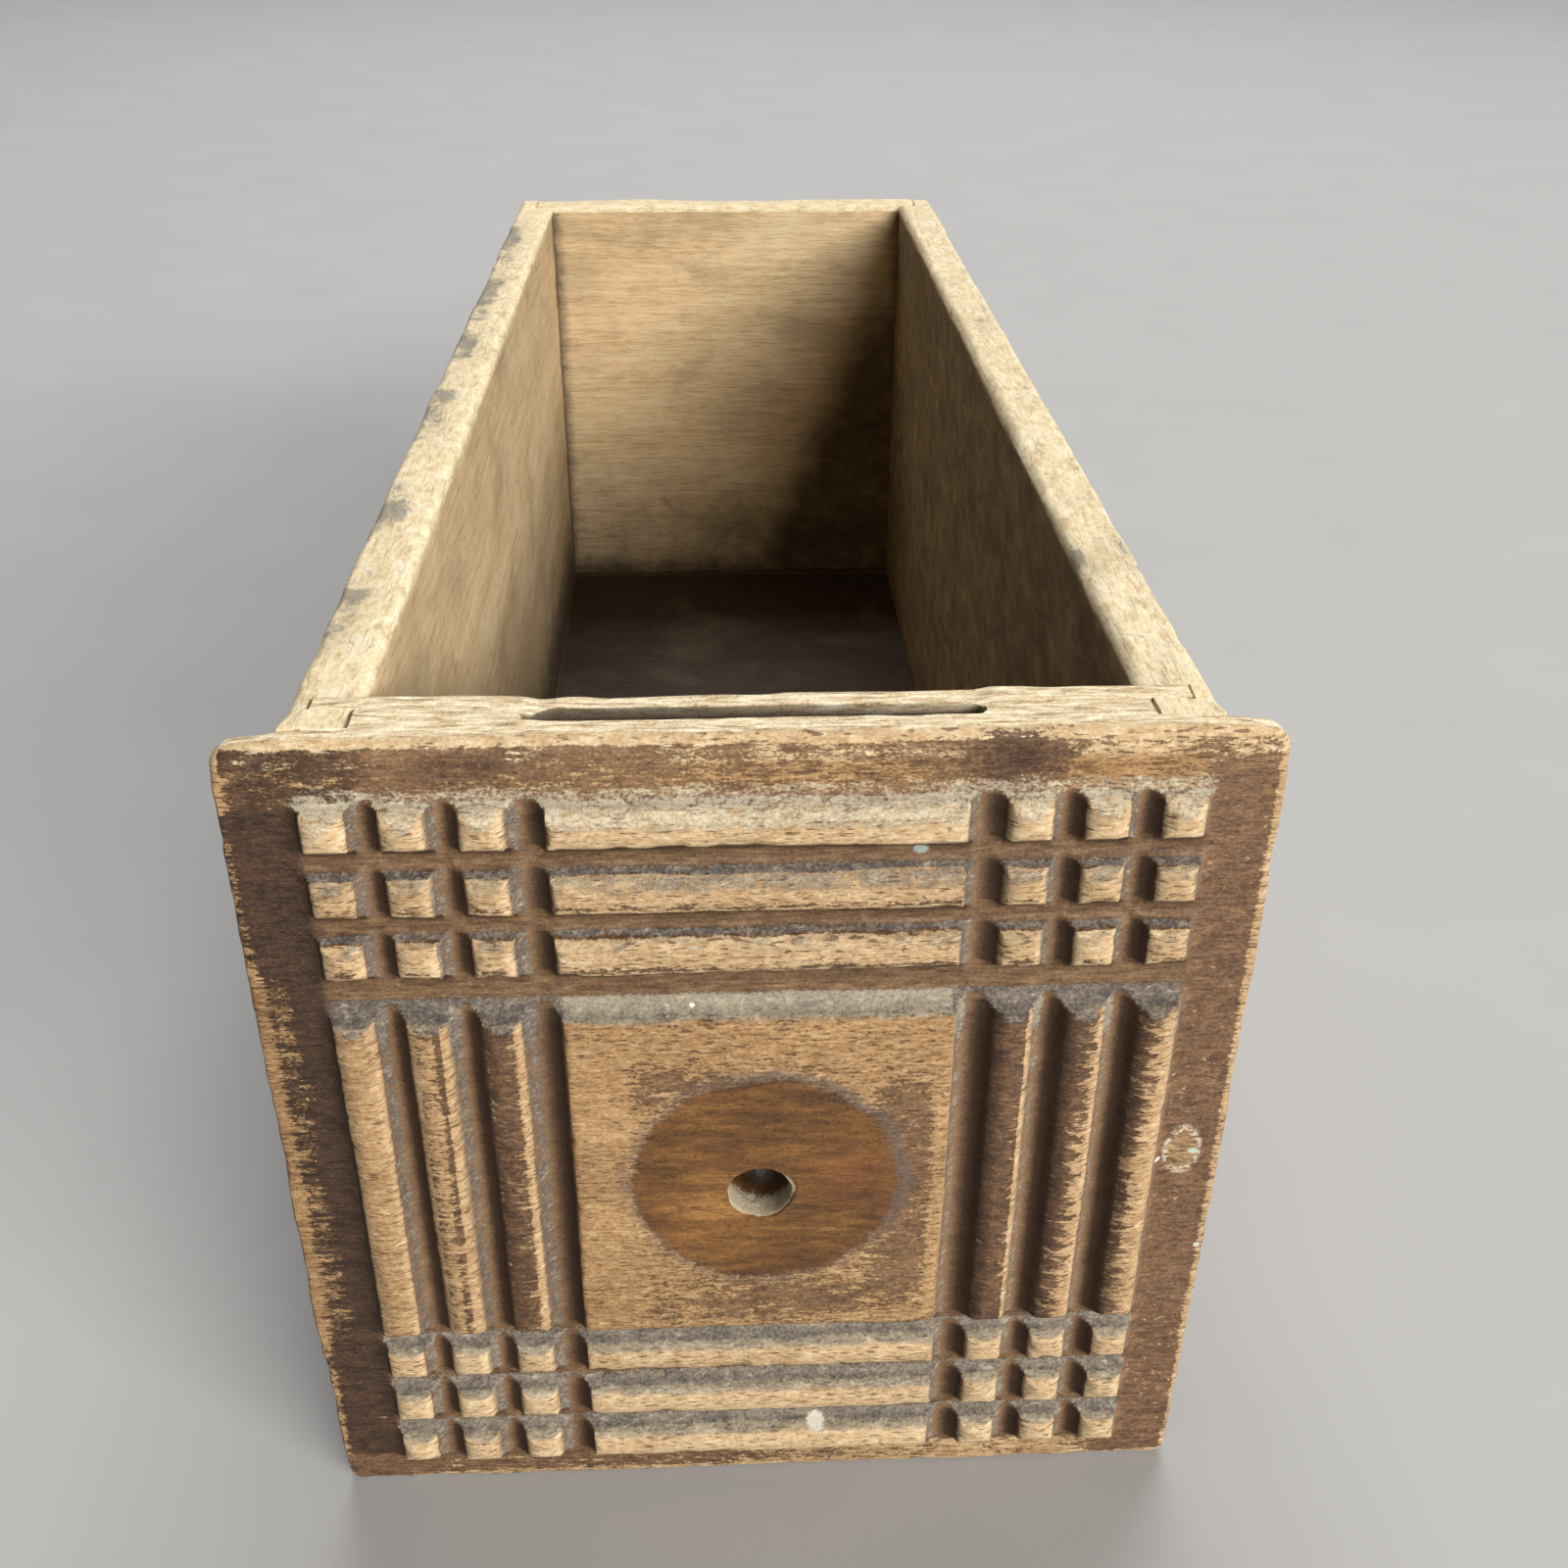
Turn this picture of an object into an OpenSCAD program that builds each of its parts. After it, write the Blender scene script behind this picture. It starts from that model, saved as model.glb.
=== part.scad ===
// Long narrow wooden drawer with a lipped front carved in reeds, all sizes in millimetres.
// The origin is under the middle of the drawer, at the height of the lip's bottom edge.
// The front faces -Y, and the drawer opens upwards.

/* [Drawer] */
// Length over everything, from the carved front to the back
drawer_l = 351; // [250:1:420]
// Width of the box, over both sides
box_w = 126; // [110:1:200]
// Thickness of the side boards
side_t = 10.2; // [9:0.1:14]
// Thickness of the back board
back_t = 10.2; // [8:0.1:14]

/* [Front] */
// Width of the front board
face_w = 141; // [141:1:220]
// Height of the front board
face_h = 144; // [140:1:180]
// Thickness of the front board without its carving
front_t = 14; // [13:0.1:18]
// Thickness of the lip that covers the ends of the sides
lip_t = 4.8; // [3:0.1:5]
// How far the lip hangs below the sides
lip_drop = 7.5; // [0:0.5:10]
// Radius of the lip's top corners
lip_top_r = 4.5; // [1:0.5:8]
// Radius of the lip's bottom corners
lip_bottom_r = 3; // [1:0.5:8]

/* [Carving] */
// Height of the reeds above the board
carve_h = 3.2; // [1:0.1:4]
// Width of a reed's flat top
reed_w = 5.6; // [3:0.1:6]
// Distance from one reed to the next
reed_pitch = 10.35; // [9.5:0.05:11]
// Reeds on each side of the plain field
reeds = 3; // [1:1:3]
// Width over the outermost upright reeds
carve_w = 119.7; // [110:0.1:130]
// Height of the lowest reed's lower edge
carve_bottom = 7.5; // [6:0.5:12]
// Height of the highest reed's upper edge
carve_top = 134.4; // [130:0.1:136]
// Width of the plain field
field_w = 55.5; // [40:0.5:56]
// Height of the plain field's lower edge
field_bottom = 38.2; // [37:0.1:45]
// Height of the plain field's upper edge
field_top = 99.8; // [90:0.1:100]

/* [Pull hole and slot] */
// Diameter of the hole for the pull's bolt
pull_d = 9.5; // [4:0.1:12]
// Height of the hole's centre
pull_z = 67.2; // [60:0.1:80]
// Width of the slot in the top edge
slot_w = 2.5; // [1:0.1:3]
// Depth of the slot
slot_depth = 6; // [2:0.5:9]
// Length of the slot at the top edge
slot_l = 64; // [30:1:80]

/* [Bottom] */
// Thickness of the bottom panel
bottom_t = 6.4; // [5:0.1:8]
// Height of the panel above the lower edges of the sides
bottom_rise = 9.4; // [6:0.1:14]
// Depth of the grooves that hold the panel
groove_depth = 4.8; // [3:0.1:5]

/* [Nails] */
// Length of a nail
nail_l = 28; // [22:1:32]
// Diameter of a nail's shank
nail_d = 1.5; // [1:0.1:2]
// Diameter of a nail's head
nail_head_d = 3.2; // [2:0.1:4]
// Nails in each row
nail_count = 3; // [2:1:4]

/* [Hidden] */
$fn = 48;

play = 0.1;                                // room left in every joint
panel_room = 0.4;                          // room left at the bottom of the panel's grooves
cut = 1;                                   // how far a cutter reaches past a surface

carve_y = -drawer_l / 2;                   // tops of the reeds
face_y = carve_y + carve_h;                // face of the front board
front_back_y = face_y + front_t;           // its inner face
lip_y = face_y + lip_t;                    // back of the lip
rear_y = drawer_l / 2;                     // outer face of the back
back_y = rear_y - back_t;                  // inner face of the back

side_x = box_w / 2;                        // outer face of a side
inner_x = side_x - side_t;                 // inner face of a side
side_z = lip_drop;                         // lower edge of a side
panel_z = side_z + bottom_rise;            // underside of the bottom panel
floor_z = panel_z + bottom_t;              // upper face of the bottom panel

// The front corner: each side ends in a tongue behind the lip, and the front's own tongue,
// behind that one, enters a dado across the side.
side_tongue_t = 5.5;
side_tongue_x = inner_x + 1.4;             // tip of the side's tongue
front_tongue_y = lip_y + side_tongue_t;    // front face of the front's tongue
front_tongue_x = side_x - 3.4;             // tip of the front's tongue

// The back sits in a rabbet at the rear end of each side.
rabbet_depth = side_t / 2;
back_x = side_x - rabbet_depth;            // end of the back board

// Draft of the carving's flanks, across the full height of a reed
upright_draft = 1.6;
level_draft = 0.8;
crown_draft = 1.8;                         // upper end of the field and of the upright reeds

nail_head_t = 0.8;
nail_tip_l = 3;
nail_inset = 18;                           // from a board's edge to the first nail

// ---------- front board ----------

// Outline of the lip, seen from the front
module lip_outline() {
    radii = [[-1, 0, lip_bottom_r], [1, 0, lip_bottom_r], [-1, 1, lip_top_r], [1, 1, lip_top_r]];
    difference() {
        translate([-face_w / 2, 0]) square([face_w, face_h]);
        for (c = radii)
            lip_corner(c[0], c[1], c[2]) square(2 * c[2], center = true);
    }
    for (c = radii)
        lip_corner(c[0], c[1], c[2])
            translate([-c[0] * c[2], c[1] == 1 ? -c[2] : c[2]]) circle(c[2]);
}

// Moves its children to the lip's corner on one side (-1 or 1), at the bottom (0) or top (1)
module lip_corner(side, level, r) {
    translate([side * face_w / 2, level * face_h]) children();
}

// Section of one reed or of the field: [lower edge, upper edge, lower draft, upper draft]
module reed_section(band) {
    polygon([[band[0] - band[2], -cut], [band[0] - band[2], 0], [band[0], carve_h],
        [band[1], carve_h], [band[1] + band[3], 0], [band[1] + band[3], -cut]]);
}

// Reeds of one draft from a first edge onwards, as bands for reed_section
function reed_bands(first, low_draft, high_draft) =
    [for (i = [0 : reeds - 1])
        [first + i * reed_pitch, first + i * reed_pitch + reed_w, low_draft, high_draft]];

reeds_span = (reeds - 1) * reed_pitch + reed_w;

columns = concat(
    reed_bands(-carve_w / 2, upright_draft, upright_draft),
    [[-field_w / 2, field_w / 2, upright_draft, upright_draft]],
    reed_bands(carve_w / 2 - reeds_span, upright_draft, upright_draft));

rows = concat(
    reed_bands(carve_bottom, level_draft, level_draft),
    [[field_bottom, field_top, level_draft, crown_draft]],
    reed_bands(carve_top - reeds_span, level_draft, level_draft));

// Everything that stands above the face: upright grooves crossed by level ones
module carving() {
    intersection() {
        for (band = columns)
            linear_extrude(face_h) mirror([0, 1]) reed_section(band);
        for (band = rows)
            translate([-face_w / 2, 0, 0]) rotate([90, 0, 90])
                linear_extrude(face_w) rotate(90) reed_section(band);
    }
}

// Blind slot in the top edge, with a round right end and a ramp up to the left end
module top_slot() {
    ramp_l = 12;
    translate([-slot_l / 2, lip_y + 2.4, face_h - slot_depth]) {
        rotate([90, 0, 0]) linear_extrude(slot_w, center = true)
            polygon([[ramp_l, 0], [slot_l - slot_w / 2, 0], [slot_l - slot_w / 2, slot_depth + cut],
                [-ramp_l * cut / slot_depth, slot_depth + cut]]);
        translate([slot_l - slot_w / 2, 0, 0]) cylinder(d = slot_w, h = slot_depth + cut);
    }
}

module front_board() {
    core_x = side_tongue_x - play;
    color("sienna") difference() {
        union() {
            translate([0, lip_y, 0]) rotate([90, 0, 0]) linear_extrude(lip_t) lip_outline();
            translate([0, face_y, 0]) carving();
            translate([-core_x, lip_y - cut, side_z])
                cube([2 * core_x, front_back_y - lip_y + cut, face_h - side_z]);
            translate([-front_tongue_x, front_tongue_y, side_z])
                cube([2 * front_tongue_x, front_back_y - front_tongue_y, face_h - side_z]);
        }
        translate([0, carve_y - cut, pull_z]) rotate([-90, 0, 0])
            cylinder(d = pull_d, h = front_t + carve_h + 2 * cut);
        translate([-side_x, front_back_y - groove_depth, panel_z - play])
            cube([box_w, groove_depth + cut, bottom_t + 2 * play]);
        top_slot();
    }
}

// ---------- sides ----------

// The right side board; the left one is its mirror image
module side_board() {
    difference() {
        translate([inner_x, lip_y + play, side_z])
            cube([side_t, rear_y - lip_y - play, face_h - side_z]);
        // shortens the tongue behind the lip
        translate([inner_x - cut, lip_y - cut, side_z - cut])
            cube([side_tongue_x - inner_x + cut, side_tongue_t + cut, face_h]);
        // dado for the front's tongue
        translate([inner_x - cut, front_tongue_y - play, side_z - cut])
            cube([front_tongue_x - inner_x + cut + play, front_back_y - front_tongue_y + 2 * play, face_h]);
        // groove for the bottom panel
        translate([inner_x - cut, lip_y - cut, panel_z - play])
            cube([groove_depth + cut, drawer_l, bottom_t + 2 * play]);
        // rabbet for the back
        translate([inner_x - cut, back_y - play, side_z - cut])
            cube([side_t - rabbet_depth + cut + play, back_t + cut + play, face_h]);
        back_nails(play);
    }
}

module right_side() {
    color("peru") side_board();
}

module left_side() {
    color("peru") mirror([1, 0, 0]) side_board();
}

// ---------- back and bottom ----------

module back_board() {
    color("burlywood") difference() {
        translate([-back_x, back_y, floor_z + play])
            cube([2 * back_x, back_t, face_h - floor_z - play]);
        back_nails(play);
        mirror([1, 0, 0]) back_nails(play);
        bottom_row(play);
    }
}

// The panel stands in the grooves of the front and the sides, and runs on under the back
module bottom_panel() {
    reach = groove_depth - panel_room;
    color("saddlebrown") difference() {
        translate([-inner_x - reach, front_back_y - reach, panel_z])
            cube([2 * (inner_x + reach), rear_y - front_back_y + reach, bottom_t]);
        bottom_row(play);
    }
}

// ---------- nails ----------

// One nail, driven along +Z from the head's outer face at the origin; room widens it to its hole
module nail(room) {
    cylinder(d = nail_head_d + 2 * room, h = nail_head_t + room);
    cylinder(d = nail_d + 2 * room, h = nail_l - nail_tip_l + room);
    translate([0, 0, nail_l - nail_tip_l + room])
        cylinder(d1 = nail_d + 2 * room, d2 = 0, h = nail_tip_l);
}

// Row of nails through the right side into the end of the back
module back_nails(room = 0) {
    low = floor_z + nail_inset;
    high = face_h - nail_inset;
    for (i = [0 : nail_count - 1])
        translate([side_x, rear_y - back_t / 2, low + i * (high - low) / (nail_count - 1)])
            rotate([0, -90, 0]) nail(room);
}

// Row of nails through the bottom panel into the lower edge of the back
module bottom_row(room = 0) {
    reach = inner_x - nail_inset;
    for (i = [0 : nail_count - 1])
        translate([-reach + i * 2 * reach / (nail_count - 1), rear_y - back_t / 2, panel_z])
            nail(room);
}

module right_back_nails() {
    color("dimgray") back_nails();
}

module left_back_nails() {
    color("dimgray") mirror([1, 0, 0]) back_nails();
}

module bottom_nails() {
    color("dimgray") bottom_row();
}

front_board();
left_side();
right_side();
back_board();
bottom_panel();
left_back_nails();
right_back_nails();
bottom_nails();
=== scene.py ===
import itertools
import math

import bmesh
import bpy
import numpy as np
from mathutils import Matrix, Vector


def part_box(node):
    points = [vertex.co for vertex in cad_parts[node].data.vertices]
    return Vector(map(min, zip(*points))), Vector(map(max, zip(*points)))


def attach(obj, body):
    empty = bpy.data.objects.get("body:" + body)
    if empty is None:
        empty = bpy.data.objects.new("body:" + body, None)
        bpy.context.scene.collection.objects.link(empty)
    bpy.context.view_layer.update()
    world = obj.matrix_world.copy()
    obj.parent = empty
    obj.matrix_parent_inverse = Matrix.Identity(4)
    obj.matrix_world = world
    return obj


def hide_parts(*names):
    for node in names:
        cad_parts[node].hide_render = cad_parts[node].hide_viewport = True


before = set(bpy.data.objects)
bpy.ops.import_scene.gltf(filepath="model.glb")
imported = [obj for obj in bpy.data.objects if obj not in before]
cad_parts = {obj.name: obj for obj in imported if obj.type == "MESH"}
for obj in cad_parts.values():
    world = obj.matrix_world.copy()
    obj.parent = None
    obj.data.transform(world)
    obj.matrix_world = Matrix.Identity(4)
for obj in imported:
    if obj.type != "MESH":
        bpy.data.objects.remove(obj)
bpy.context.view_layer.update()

# An old drawer with a reeded front. Lengths below are in millimetres, in the frame of the CAD,
# and only leave it as metres when a mesh, a lamp or the camera is made.
MM = 0.001


def box_mm(node):
    """Lowest and highest corner of a CAD node, in millimetres."""
    low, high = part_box(node)
    return np.array(low) / MM, np.array(high) / MM


FRONT_LOW, FRONT_HIGH = box_mm("front_board")
SIDE_LOW, SIDE_HIGH = box_mm("right_side")
BACK_LOW, BACK_HIGH = box_mm("back_board")
PANEL_LOW, PANEL_HIGH = box_mm("bottom_panel")

CARVE_H = 3.2                              # height of the reeds above the face
LIP_T = 4.8
FACE_Y = FRONT_LOW[1] + CARVE_H            # face of the front board
LIP_Y = FACE_Y + LIP_T                     # back of the lip
FRONT_BACK_Y = FRONT_HIGH[1]               # inner face of the front board
HALF_W = FRONT_HIGH[0]
TOP_Z = FRONT_HIGH[2]
TOP_R, BOTTOM_R = 2.8, 3.0                 # corners of the lip

REED_W, PITCH = 5.6, 10.35                 # flat top of a reed, and reed to reed
FIELD_X = 27.75                            # half width of the plain field
FIELD_LOW, FIELD_HIGH = 38.2, 99.8
CARVE_LOW, CARVE_HIGH = 7.5, 134.4
CARVE_X = 59.85                            # outer edge of the outermost upright reed

PULL_R, PULL_Z = 4.75, 67.2
SLOT_LEFT, SLOT_RIGHT = -31.6, 31.0
SLOT_W, SLOT_DEPTH, SLOT_RAMP = 2.5, 6.0, 12.0
SLOT_Y = LIP_Y + 2.4

CORE_X = 54.1                              # half width of the front board behind the lip
FRONT_TONGUE_X, FRONT_TONGUE_Y = 59.6, LIP_Y + 5.5
SIDE_TONGUE_X = 54.2
INNER_X = SIDE_LOW[0]
SIDE_Z = SIDE_LOW[2]
RABBET_X = BACK_HIGH[0]
PLAY = 0.1
JOINT_GAP = 0.6                            # the front corners have opened up a little


# ---------- noise and small helpers ----------

def lattice(cells, seed):
    """A repeatable number from 0 to 1 for each row of whole-numbered cells."""
    h = cells[:, 0] * 0x8DA6B343 ^ cells[:, 1] * 0xD8163841 ^ cells[:, 2] * 0xCB1AB31F
    h = (h ^ (seed * 0x9E3779B1)) & 0xFFFFFFFF
    h = ((h ^ (h >> 15)) * 0x2C1B3C6D) & 0xFFFFFFFF
    h = ((h ^ (h >> 12)) * 0x297A2D39) & 0xFFFFFFFF
    return (h ^ (h >> 15)) / 0xFFFFFFFF


def noise(points, cell, seed=0):
    """Smooth noise from -1 to 1 at the points, with cells of one size or of (x, y, z)."""
    spots = points / np.asarray(cell, float)
    base = np.floor(spots).astype(np.int64)
    part = spots - base
    part = part * part * part * (part * (part * 6 - 15) + 10)
    total = np.zeros(len(points))
    for corner in itertools.product((0, 1), repeat=3):
        weight = np.prod(np.where(corner, part, 1 - part), axis=1)
        total += weight * lattice(base + corner, seed)
    return 2 * total - 1


def smooth(t):
    """0 below 0, 1 above 1, and an S curve between."""
    t = np.clip(t, 0, 1)
    return t * t * (3 - 2 * t)


def within(value, low, high, soft):
    """1 between low and high, falling to 0 over soft on either side."""
    return smooth((value - low) / soft + 0.5) * smooth((high - value) / soft + 0.5)


def grid_lines(low, high, centres, reach, fine, coarse):
    """Positions from low to high, fine apart within reach of a centre and coarse elsewhere."""
    centres = np.asarray(centres)
    spots = [low]
    while spots[-1] < high:
        near = np.abs(centres - spots[-1]).min() < reach
        spots.append(spots[-1] + (fine if near else coarse))
    spots = np.array(spots)
    return low + (spots - low) * (high - low) / (spots[-1] - low)


def make_object(name, points, faces):
    """A mesh object from points in millimetres, its faces turned outwards."""
    mesh = bpy.data.meshes.new(name)
    mesh.from_pydata((np.asarray(points) * MM).tolist(), [], faces)
    bm = bmesh.new()
    bm.from_mesh(mesh)
    bmesh.ops.recalc_face_normals(bm, faces=bm.faces)
    bm.to_mesh(mesh)
    bm.free()
    made = bpy.data.objects.new(name, mesh)
    bpy.context.scene.collection.objects.link(made)
    return made


def shell(xs, ys, zs):
    """Points and quads of a box's surface, with a grid line at each x, y and z."""
    shape = (len(xs), len(ys), len(zs))
    outside = np.zeros(shape, bool)
    for axis in range(3):
        for end in (0, -1):
            face = [slice(None)] * 3
            face[axis] = end
            outside[tuple(face)] = True
    index = np.full(shape, -1)
    index[outside] = np.arange(outside.sum())
    i, j, k = np.nonzero(outside)
    points = np.stack([xs[i], ys[j], zs[k]], axis=1)
    faces = []
    for axis in range(3):
        for end in (0, -1):
            sheet = np.take(index, end, axis=axis)
            quads = [sheet[:-1, :-1], sheet[1:, :-1], sheet[1:, 1:], sheet[:-1, 1:]]
            faces += np.stack([q.ravel() for q in quads], axis=1).tolist()
    return points, faces


def cut(target, cutter):
    """Takes the cutter's solid away from the target's mesh, and removes the cutter."""
    step = target.modifiers.new("cut", "BOOLEAN")
    step.operation = "DIFFERENCE"
    step.solver = "MANIFOLD"
    step.object = cutter
    bpy.context.view_layer.update()
    ready = target.evaluated_get(bpy.context.evaluated_depsgraph_get())
    carved = bpy.data.meshes.new_from_object(ready)
    target.modifiers.clear()
    old = target.data
    target.data = carved
    carved.name = target.name
    bpy.data.meshes.remove(old)
    bpy.data.meshes.remove(cutter.data)


def cut_box(target, low, high):
    """Takes a box away from the target."""
    points, faces = shell(*[np.array([low[a], high[a]], float) for a in range(3)])
    cut(target, make_object("cutter", points, faces))


def points_of(piece):
    """The piece's vertices in millimetres."""
    flat = np.empty(len(piece.data.vertices) * 3)
    piece.data.vertices.foreach_get("co", flat)
    return flat.reshape(-1, 3) / MM


def note(piece, **values):
    """Stores numbers per vertex, for the materials to read by name."""
    for name, value in values.items():
        layer = piece.data.attributes.new(name, "FLOAT", "POINT")
        layer.data.foreach_set("value", np.clip(value, 0, 1).astype(np.float32))


def finish_piece(piece, material, node):
    """Shading, material and the frame's facts about a piece that replaces one CAD node."""
    piece.data.polygons.foreach_set("use_smooth", [True] * len(piece.data.polygons))
    piece.data.set_sharp_from_angle(angle=math.radians(38))
    piece.data.materials.clear()
    piece.data.materials.append(material)
    piece.data.polygons.foreach_set("material_index", [0] * len(piece.data.polygons))
    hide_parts(node)
    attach(piece, "root")


# ---------- front board ----------

def reed_bands(first):
    """Three reeds from their first edge: [(lower edge, upper edge)]."""
    return [(first + i * PITCH, first + i * PITCH + REED_W) for i in range(3)]


REEDS_SPAN = 2 * PITCH + REED_W
COLUMNS = reed_bands(-CARVE_X) + [(-FIELD_X, FIELD_X)] + reed_bands(CARVE_X - REEDS_SPAN)
ROWS = reed_bands(CARVE_LOW) + [(FIELD_LOW, FIELD_HIGH)] + reed_bands(CARVE_HIGH - REEDS_SPAN)


def cove(beyond, width):
    """Height beyond a band's edge: a hollow quarter round, 1 at the edge and 0 at width."""
    left = np.clip(1 - (beyond - 0.15) / width, 0, 1)
    return 1 - (1 - left ** 2) ** 0.58


def band_profile(t, bands, width, crown_width, bow):
    """Height from 0 to 1 across the bands: coves between them, and slightly rounded tops."""
    height = np.zeros_like(t)
    for low, high in bands:
        field = high - low > 2 * REED_W
        flank = np.minimum(cove(low - t, width), cove(t - high, crown_width if field else width))
        eased = 0.09 * np.exp(-np.clip(np.minimum(t - low, high - t), 0, None) / 0.45)
        across = np.clip(np.abs(2 * t - low - high) / (high - low), 0, 1)
        eased = eased + (0 if field else bow * across ** 2.4)
        height = np.maximum(height, flank * (1 - eased))
    return height


def column_profile(x):
    return band_profile(x, COLUMNS, 2.35, 2.35, 0.20)


def row_profile(z):
    return band_profile(z, ROWS, 1.8, 2.7, 0.20)


def in_carving(x, z):
    """1 over the carved square, 0 on the margins."""
    foot = 0.9
    across = within(x, -CARVE_X - foot, CARVE_X + foot, 1.2)
    return across * within(z, CARVE_LOW - foot, CARVE_HIGH + foot, 1.2)


def carve_height(x, z):
    """Height of the carving above the face, with the wobble, wear and grain of old wood."""
    spots = np.stack([x, np.zeros_like(x), z], axis=1)
    wobble_x = 0.24 * noise(spots, (9, 9, 22), 1) + 0.09 * noise(spots, (3, 3, 5), 2)
    wobble_z = 0.24 * noise(spots, (22, 9, 9), 3) + 0.09 * noise(spots, (5, 3, 3), 4)
    across = column_profile(x + wobble_x)
    along = row_profile(z + wobble_z)
    height = np.minimum(across, along)
    arris = smooth((height - 0.35) / 0.3) * (1 - smooth((height - 0.9) / 0.08))
    knocks = np.clip(noise(spots, (2.6, 2, 1.9), 5) - 0.15, 0, 1)
    height = height - 0.22 * knocks * arris
    return CARVE_H * height


def face_relief(x, z):
    """Grain furrows and dents over the whole face, in millimetres below it."""
    spots = np.stack([x, np.zeros_like(x), z], axis=1)
    furrows = np.clip(noise(spots, (5, 5, 1.1), 6) - 0.3, 0, 1)
    dents = np.clip(noise(spots, 6, 7) - 0.55, 0, 1)
    return 0.07 * furrows + 0.3 * dents


def round_corners(x, z):
    """Moves the points of a square grid onto the lip's round-cornered outline."""
    x, z = x.copy(), z.copy()
    for side, top in itertools.product((-1, 1), (0, 1)):
        r = TOP_R if top else BOTTOM_R
        centre_x = side * (HALF_W - r)
        centre_z = TOP_Z - r if top else r
        dx = (x - centre_x) * side
        dz = (z - centre_z) * (1 if top else -1)
        corner = (dx > 1e-9) & (dz > 1e-9)
        reach = np.maximum(dx, dz)[corner] / np.hypot(dx, dz)[corner]
        x[corner] = centre_x + (x[corner] - centre_x) * reach
        z[corner] = centre_z + (z[corner] - centre_z) * reach
    return x, z


def top_wear(x, y):
    """How far the top edge of the front is worn down."""
    spots = np.stack([x, y, np.zeros_like(x)], axis=1)
    waves = 0.16 * noise(spots, (23, 30, 9), 11) + 0.12 * noise(spots, (5, 7, 9), 12)
    ears = 0.65 * smooth((np.abs(x) - 61) / 9)
    behind_slot = 0.45 * within(x, -30, 31, 3) * smooth((y - SLOT_Y) / 1.5)
    fibres = 0.12 * noise(spots, (6, 0.8, 9), 13)
    return np.clip(0.16 + waves + ears + behind_slot + fibres, 0.02, 2.2)


def wear_outline(x, y, z):
    """Wobbles the outline and lowers its top edge, fading out towards the middle of the face."""
    spots = np.stack([x, y, z], axis=1)
    near_side = smooth((np.abs(x) - HALF_W + 7) / 7)
    near_top = smooth((z - TOP_Z + 5) / 5)
    near_bottom = smooth((4 - z) / 4)
    bite = 0.2 * noise(spots, (9, 9, 13), 14) + 0.12 * noise(spots, 2.6, 15)
    belly = np.where(x < 0, 0.85, 0.55) * smooth(z / 45) * (1 - 0.4 * smooth((z - 105) / 35))
    x = x + np.sign(x) * near_side * (belly - np.clip(bite + 0.12, 0, 1))
    z = z - near_top * top_wear(x, y)
    lift = 0.22 + 0.22 * noise(spots, (17, 9, 9), 16) + 0.12 * noise(spots, 2.2, 17)
    z = z + near_bottom * np.clip(lift, 0, 1)
    return x, z


def arris_radius(x, z):
    """Radius of the worn front arris of the lip, biggest along the top."""
    spots = np.stack([x, np.zeros_like(x), z], axis=1)
    top = smooth((z - TOP_Z + 8) / 4)
    radius = 0.8 + 0.6 * top + 0.35 * noise(spots, 12, 18) + 0.3 * noise(spots, 3, 19)
    return np.clip(radius, 0.35, 2.4)


def back_surface(x, z):
    """Where the back of the front board lies: the lip's back, or the core's."""
    core = (np.abs(x) < FRONT_TONGUE_X) & (z > SIDE_Z)
    return np.where(core, FRONT_BACK_Y, LIP_Y)


def with_steps(lines, steps):
    """The lines with a close pair at each step, and none of the others near it."""
    gap = 0.01
    kept = [t for t in lines if min(abs(t - s) for s in steps) > 0.2]
    return np.array(sorted(kept + [s - gap for s in steps] + [s + gap for s in steps]))


def every(lines, count, keep, clear):
    """Indices of each count-th line and of the lines near the kept values, with both ends but
    nothing else closer than clear to an end."""
    inside = [i for i, t in enumerate(lines) if lines[0] + clear < t < lines[-1] - clear]
    close = [i for i in inside if min(abs(lines[i] - k) for k in keep) < 0.02]
    return sorted({0, len(lines) - 1} | set(inside[::count]) | set(close))


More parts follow.
